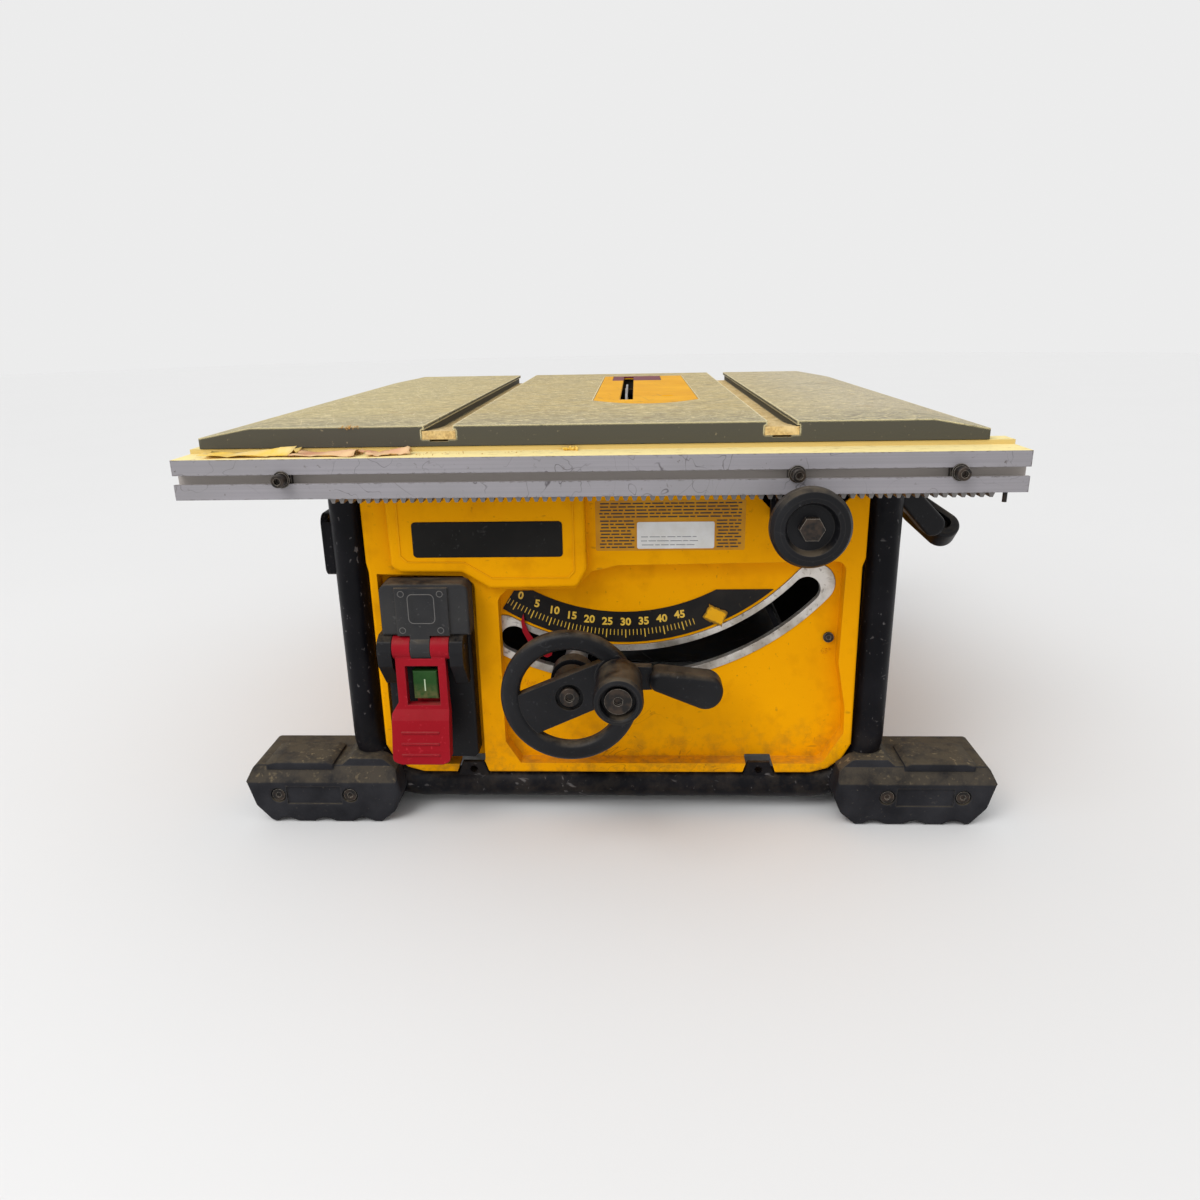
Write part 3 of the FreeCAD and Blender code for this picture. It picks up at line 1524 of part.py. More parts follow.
def make_lift_carriage():
    x_low, x_high = -47.5, -35.5
    blade_y = dim.blade_middle
    arbor_z = dim.table_height - dim.arbor_drop
    motor_z = arbor_z - dim.gear_module * (dim.arbor_teeth + dim.motor_teeth) / 2
    plate = box("lift_plate", (x_low, x_high), (-148, 219), (155, 210))
    bosses = [rod("nut_boss", "z", (dim.wheel_x, dim.screw_y, 155), 12.5, 55)]
    bores = [rod("nut_room", "z", (dim.wheel_x, dim.screw_y, 150), 9, 70)]
    for i, y in enumerate((-93, 187)):
        bosses.append(rod(f"slide_boss_{i}", "z", (dim.rod_x, y, 155), 12, 55))
        bores.append(
            rod(f"slide_bore_{i}", "z", (dim.rod_x, y, 150), dim.rod_radius + dim.running, 70)
        )
    upper_case = rod("case_upper", "x", (x_low, blade_y, arbor_z), 26, 39)
    lower_case = rod("case_lower", "x", (x_low, blade_y, motor_z), 25, 39)
    room_upper = rod("case_room_upper", "x", (x_high, blade_y, arbor_z), 22.7, 30)
    room_lower = rod("case_room_lower", "x", (x_high, blade_y, motor_z), 12, 30)
    bearing_seat = rod("bearing_seat", "x", (x_high - 8, blade_y, arbor_z), 13, 10)
    shaft_hole = rod("motor_shaft_hole", "x", (x_low - 12, blade_y, motor_z), 6.4, 30)
    neck = rod("motor_neck", "x", (x_low - 6, blade_y, motor_z), 25, 7)
    knife_arm = box("knife_arm", (x_high - 1, 6.9), (205, 219), (170, 202))
    bolt_hole = rod("knife_bolt_hole", "x", (-10, 212, 186), 3, 30)
    whole = fuse(
        "lift_whole", plate, upper_case, lower_case, neck, knife_arm, *bosses
    )
    node(
        "lift_carriage",
        cut(
            "lift_carriage_cut",
            whole,
            room_upper,
            room_lower,
            bearing_seat,
            shaft_hole,
            bolt_hole,
            *bores,
        ),
    )
    nut = tube(
        "lift_nut_sleeve",
        "z",
        (dim.wheel_x, dim.screw_y, 155),
        9,
        dim.screw_radius + dim.running,
        55,
    )
    node("lift_nut", nut)
    cover_upper = rod("cover_upper", "x", (-8.5, blade_y, arbor_z), 26, 4)
    cover_lower = rod("cover_lower", "x", (-8.5, blade_y, motor_z), 25, 4)
    cover_boss = rod("cover_boss", "x", (-8.5, blade_y, arbor_z), 22, 7)
    cover_bore = rod("cover_bore", "x", (-10, blade_y, arbor_z), 15, 10)
    cover = fuse("cover_whole", cover_upper, cover_lower, cover_boss)
    node("gear_cover", cut("gear_cover_cut", cover, cover_bore))
    bearings = []
    for i, (start, outer, width) in enumerate(((x_high - 8, 13, 8), (-8.5, 15, 7))):
        bearings.append(
            tube(
                f"arbor_bearing_{i}",
                "x",
                (start, blade_y, arbor_z),
                outer,
                dim.arbor_radius + dim.running,
                width,
            )
        )
    node("arbor_bearings", group("arbor_bearing_group", bearings))
    return arbor_z, motor_z


def facing_x(turn):
    """Turns a gear onto +X with its first tooth up, then by some degrees."""
    upright = FreeCAD.Rotation(Vec(0, 0, 1), Vec(0, -1, 0), Vec(1, 0, 0), "ZXY")
    return upright.multiply(FreeCAD.Rotation(Vec(0, 0, 1), turn))


def make_motor(motor_z):
    y = dim.blade_middle
    x_start, x_end = -168.5, -53.5
    radius = dim.motor_radius
    shell = rod("motor_outside", "x", (x_start + 6, y, motor_z), radius, x_end - x_start - 6)
    shell = soften("motor_outside_edge", shell, "x", x_end, 4)
    room = rod("motor_room", "x", (x_start, y, motor_z), radius - 4, x_end - x_start - 5)
    shaft_hole = rod("motor_end_hole", "x", (x_end - 8, y, motor_z), 6.4, 10)
    node("motor_housing", cut("motor_shell", shell, room, shaft_hole))
    cap = rod("motor_cap_disc", "x", (x_start, y, motor_z), radius, 6)
    cap = soften("motor_cap_edge", cap, "x", x_start, 3)
    holes = [rod("motor_cap_bore", "x", (x_start + 2, y, motor_z), 4.5 + dim.running, 10)]
    for i in range(8):
        angle = math.radians(45 * i + 22.5)
        vent_y = y + 24 * math.cos(angle)
        vent_z = motor_z + 24 * math.sin(angle)
        holes.append(rod(f"motor_cap_vent_{i}", "x", (x_start - 1, vent_y, vent_z), 5, 10))
    node("motor_end_cap", cut("motor_cap", cap, *holes))
    stator = tube("stator_ring", "x", (-150, y, motor_z), radius - 4, 26, 62)
    node("motor_stator", stator)
    core = rod("armature_core", "x", (-148, y, motor_z), 25, 58)
    commutator = rod("armature_commutator", "x", (-160, y, motor_z), 13, 8)
    fan = rod("armature_fan", "x", (-84, y, motor_z), 34, 12)
    shaft = rod("armature_shaft", "x", (x_start + 2.5, y, motor_z), 4.5, 151)
    pinion = involute_gear(dim.gear_module.value, int(dim.motor_teeth.value), 11, 4.5, 0.75, 0.3)
    place = FreeCAD.Placement(Vec(-28.3, y.value, motor_z.value), facing_x(0))
    cut_teeth = shape_feature("motor_pinion", pinion, place)
    node("armature", fuse("armature_whole", core, commutator, fan, shaft, cut_teeth))


def blade_shape():
    """Saw plate with carbide-tooth gullets, standing on its arbor axis."""
    teeth = 24
    radius = dim.blade_radius.value
    pitch = 2 * math.pi / teeth
    # Each tooth: share of its pitch, and depth below the tip circle.
    tooth_line = (
        (0, 0),
        (0.06, 0.9),
        (0.5, 5.0),
        (0.62, 9.5),
        (0.78, 11.0),
        (0.92, 9.0),
        (0.97, 4.0),
    )
    points = []
    for tooth in range(teeth):
        for share, depth in tooth_line:
            angle = -(tooth + share) * pitch
            reach = radius - depth
            points.append(Vec(0, reach * math.sin(angle), reach * math.cos(angle)))
    face = Part.Face(Part.makePolygon(points + points[:1]))
    plate = face.extrude(Vec(dim.blade_thick.value, 0, 0))
    bore = Part.makeCylinder(dim.arbor_radius.value, 6, Vec(-2, 0, 0), Vec(1, 0, 0))
    slots = []
    for i in range(4):
        slot = Part.makeBox(6, 1, 16, Vec(-2, -0.5, radius - 25))
        slot.rotate(Vec(), Vec(1, 0, 0), 90 * i + 7.5 * 0.62 * 2)
        slots.append(slot)
    return plate.cut([bore] + slots)


def make_blade(arbor_z):
    y = dim.blade_middle
    plane = dim.blade_plane - dim.blade_thick / 2
    place = FreeCAD.Placement(Vec(plane.value, y.value, arbor_z.value), UPRIGHT)
    node("blade", shape_feature("saw_plate", blade_shape(), place))
    node("arbor", rod("arbor_bar", "x", (-43.2, y, arbor_z), dim.arbor_radius, 66))
    inner = tube("inner_flange_ring", "x", (plane - 4.8, y, arbor_z), 20, dim.arbor_radius, 4.8)
    outer_x = plane + dim.blade_thick
    outer = tube("outer_flange_ring", "x", (outer_x, y, arbor_z), 20, dim.arbor_radius, 3.4)
    nut = doc.addObject("Part::Prism", "arbor_nut_hex")
    nut.Polygon = 6
    nut.Placement = FreeCAD.Placement(Vec(), ALONG["x"])
    bind(nut, "Circumradius", sized(12.7))
    bind(nut, "Height", sized(7.4))
    bind_place(nut, (outer_x + 3.4, y, arbor_z))
    bore = rod("arbor_nut_bore", "x", (outer_x, y, arbor_z), dim.arbor_radius, 20)
    threaded = cut("arbor_nut", nut, bore)
    node("blade_clamp", group("blade_clamp_group", [inner, outer, threaded]))
    module = dim.gear_module.value
    teeth = int(dim.arbor_teeth.value)
    gear = involute_gear(module, teeth, 9, dim.arbor_radius.value, 0.75, 0.3)
    gap_down = 180 + 180 / teeth
    place = FreeCAD.Placement(Vec(-27.4, y.value, arbor_z.value), facing_x(gap_down))
    node("arbor_gear", shape_feature("arbor_gear_wheel", gear, place))


def make_blade_shroud(arbor_z):
    """Lower blade guard: two half-moon walls joined by a curved rim."""
    y = dim.blade_middle
    x_low, x_high = -1.5, 20
    outer, skin = 114.5, 1.6
    drum = rod("shroud_outside", "x", (x_low, y, arbor_z), outer, x_high - x_low)
    start = (x_low + skin, y, arbor_z)
    room = rod("shroud_room", "x", start, outer - 3.2, x_high - x_low - 2 * skin)
    above = box("shroud_above", (-10, 30), (y - 130, y + 130), (arbor_z + 10, arbor_z + 130))
    left_hole = rod("shroud_left_hole", "x", (-5, y, arbor_z), 24, 10)
    right_hole = rod("shroud_right_hole", "x", (15, y, arbor_z), 30, 10)
    shell = cut("shroud_shell", drum, room, above, left_hole, right_hole)
    node("blade_shroud", shell)


def make_riving_knife(arbor_z):
    y = dim.blade_middle
    x_low, x_high = 7.4, 9.6
    reach = 109.5
    inner = []
    for degrees in (8, 18, 28, 38, 48, 55, 61):
        angle = math.radians(degrees)
        inner.append((y + reach * math.cos(angle), arbor_z + reach * math.sin(angle)))
    outline = [(206, 165), (206, 236)] + inner
    outline += [(150, 325.6), (176, 325.6), (200, 305), (214, 272), (219, 235), (219, 165)]
    blank = profile("knife_blank", "x", sized(x_low), sized(x_high), outline)
    slot = box("knife_slot", (x_low - 1, x_high + 1), (208.2, 215.8), (152, 190.2))
    node("riving_knife", cut("knife_cut", blank, slot))
    bolt = rod("knife_bolt", "x", (-9, 212, 186), 3, 31)
    knob = rod("knife_knob_disc", "x", (10.2, 212, 186), 9, 12)
    knob = soften("knife_knob_edge", knob, "x", 22.2, 2)
    node("knife_knob", fuse("knife_knob_whole", knob, bolt))


# ---------------------------------------------------------------- whole saw


def write_parts():
    doc.recompute()
    for item in doc.Objects:
        bad = [state for state in item.State if state in ("Invalid", "Error")]
        if bad:
            raise RuntimeError(f"{item.Name} failed: {item.State}")
    os.makedirs("parts", exist_ok=True)
    for label, item in nodes.items():
        shape = item.Shape
        if shape.isNull() or not shape.isValid() or not shape.Solids:
            raise RuntimeError(f"{label} has no sound solid")
        shape.exportStep(os.path.join("parts", f"{label}.step"))
    print(len(nodes), "sub-parts written")


make_table()
make_throat_plate()
racks = [make_rail("front", False), make_rail("rear", True)]
node("rail_racks", group("rack_group", racks))
make_rail_screws()
make_rail_guides()
make_pinion()
pinion_brackets = make_pinion_bearings()
lock_bracket, lock_pin = make_rail_lock()
node("rail_brackets", group("rail_bracket_group", pinion_brackets + [lock_bracket]))
frame_legs, frame_runs = make_frame()
foot_screws = make_feet(frame_legs, frame_runs)
panel_screw = make_front_panel()
node("housing_screws", group("housing_screw_group", foot_screws + [panel_screw]))
make_bevel_arc()
make_side_panels()
make_rear_panel()
make_storage_bracket(frame_legs)
paddle_pin = make_switch()
node("hinge_pins", group("hinge_pin_group", [lock_pin, paddle_pin]))
make_paddle()
make_buttons()
make_trunnions()
make_carriage()
make_bevel_lock()
make_handwheel()
make_lift()
arbor_height, motor_height = make_lift_carriage()
make_motor(motor_height)
make_blade(arbor_height)
make_blade_shroud(arbor_height)
make_riving_knife(arbor_height)
write_parts()
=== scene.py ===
import math
import random

import bmesh
import bpy
from mathutils import Matrix, Vector


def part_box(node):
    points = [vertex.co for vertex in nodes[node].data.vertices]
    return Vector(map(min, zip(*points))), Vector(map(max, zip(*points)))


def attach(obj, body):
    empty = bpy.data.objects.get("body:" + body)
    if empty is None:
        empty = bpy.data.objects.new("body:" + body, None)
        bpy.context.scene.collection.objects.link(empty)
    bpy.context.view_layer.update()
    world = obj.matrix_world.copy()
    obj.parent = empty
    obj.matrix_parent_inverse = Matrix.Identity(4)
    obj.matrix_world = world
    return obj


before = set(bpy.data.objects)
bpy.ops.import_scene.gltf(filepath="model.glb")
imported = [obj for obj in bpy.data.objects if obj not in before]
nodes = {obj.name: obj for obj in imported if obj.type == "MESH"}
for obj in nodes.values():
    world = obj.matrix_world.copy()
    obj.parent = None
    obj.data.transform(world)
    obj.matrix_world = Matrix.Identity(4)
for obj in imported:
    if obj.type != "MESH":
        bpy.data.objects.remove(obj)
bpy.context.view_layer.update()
random.seed(7)

# Metres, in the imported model's frame: +X right, +Y away from the operator, +Z up.
MM = 0.001

# Places on the saw that several materials and pieces share, in metres.
TABLE_TOP = 330 * MM
TABLE_FRONT = -253 * MM
SLOT_MIDDLES = {"left": -123.5 * MM, "right": 122.2 * MM}
SLOT_HALF_WIDTH = 13.25 * MM
SLOT_FLOOR = 320 * MM
RAIL_TOP = 312 * MM
PANEL_FLOOR = -211 * MM
LABEL_BAND = -225 * MM


# ---------------------------------------------------------------- materials


class Finish:
    """One procedural material: a base colour with masks laid over it.

    Every pattern is a function of the object's own coordinates, in metres, so a
    scale of 200 gives features of about 5 mm.
    """

    def __init__(self, name, color, roughness, metallic=0.0, specular=0.5):
        self.material = bpy.data.materials.new(name)
        self.material.use_nodes = True
        self.tree = self.material.node_tree
        self.shader = self.tree.nodes["Principled BSDF"]
        self.coords = self.tree.nodes.new("ShaderNodeTexCoord")
        self.shader.inputs["Metallic"].default_value = metallic
        self.shader.inputs["Specular IOR Level"].default_value = specular
        self.color = color
        self.roughness = roughness
        self.height = None

    def connect(self, value, socket):
        """Links a socket, or writes a plain number or colour."""
        if isinstance(value, bpy.types.NodeSocket):
            self.tree.links.new(value, socket)
        elif isinstance(value, tuple) and len(value) == 3 and socket.type == "RGBA":
            socket.default_value = (*value, 1)
        else:
            socket.default_value = value

    def math(self, operation, first, second=0.0):
        item = self.tree.nodes.new("ShaderNodeMath")
        item.operation = operation
        self.connect(first, item.inputs[0])
        self.connect(second, item.inputs[1])
        return item.outputs[0]

    def times(self, first, second):
        return self.math("MULTIPLY", first, second)

    def most(self, first, second):
        return self.math("MAXIMUM", first, second)

    def invert(self, value):
        return self.math("SUBTRACT", 1.0, value)

    def between(self, value, low, high, to_low=0.0, to_high=1.0):
        """Turns a value's low..high into to_low..to_high, clamped."""
        item = self.tree.nodes.new("ShaderNodeMapRange")
        self.connect(value, item.inputs["Value"])
        item.inputs["From Min"].default_value = low
        item.inputs["From Max"].default_value = high
        item.inputs["To Min"].default_value = to_low
        item.inputs["To Max"].default_value = to_high
        return item.outputs["Result"]

    def mapped(self, stretch, turn):
        """Coordinates turned about Z by some degrees, then stretched."""
        turned = self.tree.nodes.new("ShaderNodeMapping")
        turned.inputs["Rotation"].default_value = (0, 0, math.radians(turn))
        self.connect(self.coords.outputs["Object"], turned.inputs["Vector"])
        scaled = self.tree.nodes.new("ShaderNodeMapping")
        scaled.inputs["Scale"].default_value = stretch
        self.connect(turned.outputs["Vector"], scaled.inputs["Vector"])
        return scaled.outputs["Vector"]

    def noise(self, scale, detail=4.0, rough=0.55, stretch=(1, 1, 1), turn=0.0, warp=0.0):
        item = self.tree.nodes.new("ShaderNodeTexNoise")
        item.inputs["Scale"].default_value = scale
        item.inputs["Detail"].default_value = detail
        item.inputs["Roughness"].default_value = rough
        item.inputs["Distortion"].default_value = warp
        self.connect(self.mapped(stretch, turn), item.inputs["Vector"])
        return item.outputs["Fac"]

    def scratches(self, turn, length, fineness, low=0.66, high=0.74):
        """Straight scratches in one direction, broken up along their length."""
        lines = self.noise(1.0, 2.0, 0.5, (length, fineness, fineness * 0.5), turn)
        return self.between(lines, low, high)

    def scribbles(self, scale, width):
        """Thin wandering marks: the contour lines of a soft noise."""
        field = self.noise(scale, 2.0, 0.5, warp=0.6)
        away = self.math("ABSOLUTE", self.math("SUBTRACT", field, 0.5))
        line = self.between(away, width, 0.0)
        patches = self.between(self.noise(scale * 0.45, 2.0), 0.52, 0.60)
        return self.times(line, patches)

    def position(self, axis, low, high):
        """Rises from 0 to 1 between two places on an axis."""
        item = self.tree.nodes.new("ShaderNodeSeparateXYZ")
        self.connect(self.coords.outputs["Object"], item.inputs[0])
        return self.between(item.outputs["XYZ".index(axis)], low, high)

    def facing(self, axis, low, high):
        """Rises from 0 to 1 with the part of the normal along an axis."""
        item = self.tree.nodes.new("ShaderNodeSeparateXYZ")
        self.connect(self.coords.outputs["Normal"], item.inputs[0])
        return self.between(item.outputs["XYZ".index(axis)], low, high)

    def inside(self):
        """1 on every face that looks into the housing, 0 outside it."""
        soft = 0.3 * MM
        side, front, back = 190.5 * MM, -209.5 * MM, 259.9 * MM
        right = self.position("X", side + soft, side - soft)
        left = self.position("X", -side - soft, -side + soft)
        x = self.times(left, right)
        y = self.times(
            self.position("Y", front - soft, front + soft),
            self.position("Y", back + soft, back - soft),
        )
        return self.times(x, y)

    def spatter(self, scale, low=0.66, high=0.72):
        """Small irregular spots, gathered in patches."""
        spots = self.between(self.noise(scale, 3.0, 0.6), low, high)
        return self.times(spots, self.between(self.noise(scale * 0.12, 3.0), 0.42, 0.62))

    def edges(self, radius):
        """Worn edges: where a bevelled normal leaves the true one."""
        bevel = self.tree.nodes.new("ShaderNodeBevel")
        bevel.samples = 4
        bevel.inputs["Radius"].default_value = radius
        true = self.tree.nodes.new("ShaderNodeNewGeometry")
        dot = self.tree.nodes.new("ShaderNodeVectorMath")
        dot.operation = "DOT_PRODUCT"
        self.connect(bevel.outputs["Normal"], dot.inputs[0])
        self.connect(true.outputs["Normal"], dot.inputs[1])
        return self.between(dot.outputs["Value"], 0.99, 0.90)

    def layer(self, mask, color, roughness=None):
        """Lays a colour, and its roughness, over the rest where the mask is 1."""
        mix = self.tree.nodes.new("ShaderNodeMix")
        mix.data_type = "RGBA"
        self.connect(mask, mix.inputs["Factor"])
        self.connect(self.color, mix.inputs["A"])
        self.connect(color, mix.inputs["B"])
        self.color = mix.outputs["Result"]
        if roughness is not None:
            blend = self.tree.nodes.new("ShaderNodeMix")
            self.connect(mask, blend.inputs["Factor"])
            self.connect(self.roughness, blend.inputs["A"])
            self.connect(roughness, blend.inputs["B"])
            self.roughness = blend.outputs["Result"]

    def vary(self, scale, color, low=0.35, high=0.75):
        """Soft cloudy variation towards another colour."""
        self.layer(self.between(self.noise(scale, 5.0), low, high), color)

    def raise_by(self, mask, distance):
        """Adds the mask to the surface as relief of that depth in metres."""
        step = self.times(mask, distance)
        self.height = step if self.height is None else self.math("ADD", self.height, step)

    def done(self, soft_edge=0.0004):
        """Finishes the material; soft_edge rounds sharp corners in the shading."""
        self.connect(self.color, self.shader.inputs["Base Color"])
        self.connect(self.roughness, self.shader.inputs["Roughness"])
        bevel = self.tree.nodes.new("ShaderNodeBevel")
        bevel.samples = 4
        bevel.inputs["Radius"].default_value = soft_edge
        normal = bevel.outputs["Normal"]
        if self.height is not None:
            bump = self.tree.nodes.new("ShaderNodeBump")
            bump.inputs["Distance"].default_value = 1.0
            bump.inputs["Strength"].default_value = 1.0
            self.connect(self.height, bump.inputs["Height"])
            self.connect(normal, bump.inputs["Normal"])
            normal = bump.outputs["Normal"]
        self.connect(normal, self.shader.inputs["Normal"])
        return self.material


# Linear colours of loose wood: what lies in the slots, and what films the rest.
SAWDUST = (0.72, 0.52, 0.22)
DUST = (0.26, 0.20, 0.13)


def table_metal():
    """Bare ground casting: straw-coloured, scratched, with sawdust in its slots."""
    fin = Finish("table_metal", (0.40, 0.305, 0.125), 0.5, 0.0, 0.08)
    fin.vary(9, (0.46, 0.35, 0.145), 0.35, 0.70)
    fin.vary(48, (0.33, 0.265, 0.14), 0.45, 0.75)
    # Painted reflection: the top turns a lighter warm tone towards the left and a greyer tint
    # towards the right.
    fin.layer(fin.times(fin.position("X", -0.10, -0.22), 0.6), (0.46, 0.39, 0.20), 0.5)
    fin.layer(fin.times(fin.position("X", 0.10, 0.20), 0.75), (0.44, 0.39, 0.29), 0.5)
    shaded_front = fin.position("Y", -0.15, -0.24)
    fin.layer(fin.times(shaded_front, 0.65), (0.25, 0.225, 0.155), 0.5)
    grain = fin.noise(1.0, 3.0, 0.75, (150, 480, 480))
    fin.layer(fin.between(grain, 0.52, 0.64, 0, 0.85), (0.80, 0.68, 0.36), 0.5)
    fin.raise_by(grain, 0.00012)
    dull = fin.noise(1.0, 4.0, 0.75, (90, 330, 330))
    fin.layer(fin.between(dull, 0.53, 0.64, 0, 0.85), (0.20, 0.165, 0.095), 0.55)
    upper = fin.facing("Z", 0.6, 0.9)
    for turn, length in ((8, 14), (-24, 9), (71, 11), (37, 16), (-63, 12)):
        lines = fin.times(fin.scratches(turn, length, 420 + turn, 0.65, 0.74), upper)
        fin.layer(fin.times(lines, 0.42), (0.74, 0.62, 0.36), 0.4)
        fin.raise_by(fin.invert(lines), 0.00003)
    for turn in (-52, 15):
        dark = fin.times(fin.scratches(turn, 10, 300, 0.66, 0.75), upper)
        fin.layer(fin.times(dark, 0.7), (0.13, 0.115, 0.085), 0.5)
    spots = fin.times(fin.between(fin.noise(34, 5.0, 0.7), 0.62, 0.72), upper)
    fin.layer(fin.times(spots, 0.45), (0.30, 0.17, 0.08), 0.75)
    glints = fin.times(fin.spatter(520, 0.62, 0.68), upper)
    fin.layer(glints, (0.95, 0.86, 0.60), 0.5)
    side = fin.invert(upper)
    fin.layer(side, (0.082, 0.078, 0.062), 0.65)
    fin.layer(fin.times(side, fin.spatter(300)), (0.30, 0.25, 0.16), 0.8)
    # Painted shade: faces that look down are made near black.
    fin.layer(fin.facing("Z", -0.5, -0.9), (0.020, 0.018, 0.014), 0.8)
    worn = fin.times(fin.edges(0.0022), fin.between(fin.noise(120, 4.0), 0.24, 0.42))
    rim = fin.position("Z", TABLE_TOP - 12 * MM, TABLE_TOP - 8 * MM)
    fin.layer(fin.times(worn, rim), (0.88, 0.78, 0.46), 0.4)
    sunk = fin.position("Z", TABLE_TOP - 1.5 * MM, TABLE_TOP - 3 * MM)
    soft = 0.25 * MM
    for middle in SLOT_MIDDLES.values():
        low, high = middle - SLOT_HALF_WIDTH, middle + SLOT_HALF_WIDTH
        left = fin.position("X", low - soft, low + soft)
        right = fin.position("X", high + soft, high - soft)
        floor = fin.times(fin.times(left, right), fin.times(upper, sunk))
        dusty = fin.between(fin.noise(45, 5.0), 0.25, 0.50)
        fin.layer(fin.times(floor, dusty), SAWDUST, 0.9)
    return fin.done(0.0006)


def yellow_plate():
    """Painted throat plate, scratched through in places."""
    fin = Finish("throat_plate_paint", (0.76, 0.355, 0.004), 0.6, 0.0, 0.06)
    fin.vary(22, (0.84, 0.43, 0.010), 0.4, 0.7)
    fin.layer(fin.times(fin.noise(60, 5.0, 0.7), 0.35), (0.55, 0.27, 0.03), 0.7)
    for turn in (80, 12, -35):
        fin.layer(fin.times(fin.scratches(turn, 18, 330), 0.55), (0.45, 0.22, 0.03), 0.55)
    blots = fin.between(fin.noise(70, 5.0, 0.7), 0.60, 0.70)
    smudge = fin.times(blots, fin.position("Y", 0.02, -0.11))
    fin.layer(smudge, (0.05, 0.035, 0.02), 0.6)
    fin.layer(fin.times(fin.edges(0.0012), 0.8), (0.20, 0.11, 0.02), 0.5)
    fin.raise_by(fin.noise(700, 3.0), 0.00004)
    return fin.done()


def moulded(name, color, light, roughness, dust, grain, specular, wear=None):
    """Moulded plastic with a fine spark texture, handled and dusty."""
    fin = Finish(name, color, roughness, 0.0, specular)
    fin.vary(16, light, 0.40, 0.75)
    fin.layer(fin.times(fin.spatter(330), 0.5), tuple(c * 1.5 + 0.06 for c in light), 0.8)
    texture = fin.noise(grain, 3.0, 0.6)
    fin.raise_by(texture, 0.00006)
    for turn in (20, -50, 85):
        lines = fin.times(fin.scratches(turn, 30, 360, 0.70, 0.76), 0.35)
        fin.layer(lines, tuple(min(1, c * 1.8 + 0.03) for c in light), 0.6)
    if wear:
        fin.layer(fin.times(fin.edges(0.0011), 0.55), wear, 0.55)
    patches = fin.between(fin.noise(55, 5.0, 0.65), 0.38, 0.62)
    settled = fin.times(fin.facing("Z", 0.45, 0.95), patches)
    fin.layer(fin.times(settled, dust), DUST, 0.9)
    return fin.done(0.0012)


def yellow_housing():
    """Yellow moulded housing with grime and scuffs, and painted shade on its inside."""
    fin = Finish("yellow_housing", (0.78, 0.32, 0.0004), 0.5, 0.0, 0.03)
    fin.vary(7, (0.87, 0.38, 0.0004), 0.35, 0.7)
    fin.vary(40, (0.68, 0.27, 0.0008), 0.52, 0.8)
    fin.raise_by(fin.noise(1100, 2.0), 0.00003)
    for turn in (10, 65):
        lines = fin.times(fin.scratches(turn, 26, 320, 0.72, 0.78), 0.4)
        fin.layer(lines, (0.26, 0.11, 0.01), 0.55)
    marks = fin.times(fin.scribbles(36, 0.006), fin.position("Z", 0.13, 0.06))
    fin.layer(fin.times(marks, 0.6), (0.20, 0.06, 0.01), 0.6)
    fin.layer(fin.times(fin.spatter(260), 0.55), (0.25, 0.10, 0.01), 0.7)
    low = fin.position("Z", 0.085, 0.036)
    grime = fin.times(low, fin.between(fin.noise(80, 5.0, 0.7), 0.45, 0.65))
    fin.layer(fin.times(grime, 0.5), (0.22, 0.11, 0.02), 0.8)
    ledge = fin.times(fin.facing("Z", 0.3, 0.9), fin.between(fin.noise(90, 5.0), 0.35, 0.6))
    fin.layer(fin.times(ledge, 0.45), (0.36, 0.19, 0.04), 0.9)
    fin.layer(fin.times(fin.edges(0.0010), 0.4), (0.80, 0.40, 0.02), 0.45)
    # Painted shade: faces that look into the housing are made near black.
    fin.layer(fin.inside(), (0.012, 0.009, 0.006), 0.9)
    return fin.done(0.0007)


def rail_alloy():
    """Anodised extrusion: fine lines along it, dark marks and a dusty top."""
    fin = Finish("rail_alloy", (0.30, 0.285, 0.305), 0.45, 0.2, 0.25)
    lines = fin.noise(1.0, 3.0, 0.6, (3, 900, 900))
    fin.layer(fin.between(lines, 0.4, 0.65, 0, 0.35), (0.22, 0.21, 0.225), 0.5)
    fin.raise_by(lines, 0.00004)
    fin.vary(12, (0.26, 0.25, 0.26), 0.45, 0.7)
    fin.layer(fin.times(fin.scribbles(48, 0.010), 0.85), (0.06, 0.05, 0.055), 0.6)
    fin.layer(fin.times(fin.scribbles(21, 0.004), 0.6), (0.10, 0.085, 0.08), 0.6)
    fin.layer(fin.times(fin.spatter(240), 0.7), (0.09, 0.07, 0.06), 0.7)
    chips = fin.times(fin.edges(0.0016), fin.between(fin.noise(230, 4.0, 0.7), 0.50, 0.62))
    fin.layer(chips, (0.08, 0.065, 0.055), 0.7)
    cream = fin.facing("Z", 0.5, 0.9)
    top = fin.position("Z", RAIL_TOP - 12 * MM, RAIL_TOP - 3 * MM)
    patchy = fin.between(fin.noise(110, 6.0, 0.65), 0.24, 0.36)
    fin.layer(fin.times(fin.times(cream, top), patchy), (0.90, 0.76, 0.36), 0.9)
    scuffed = fin.between(fin.noise(1.0, 5.0, 0.7, (90, 420, 420)), 0.56, 0.66)
    fin.layer(fin.times(fin.times(cream, top), scuffed), (0.60, 0.46, 0.19), 0.9)
    # The crest step under the table's front edge gets a darker sawdust cream: partly dust, partly
    # painted shade under the table.
    crest = fin.position("Z", RAIL_TOP - 1 * MM, RAIL_TOP - 0.6 * MM)
    step = fin.times(crest, fin.facing("Y", -0.5, -0.8))
    fin.layer(fin.times(step, fin.position("Y", -0.26, -0.253)), (0.72, 0.55, 0.21), 0.9)
    groove = fin.times(fin.position("Y", -0.2818, -0.2800), fin.position("Z", 0.3, 0.299))
    fin.layer(fin.times(groove, 0.9), (0.44, 0.40, 0.37), 0.8)
    return fin.done()


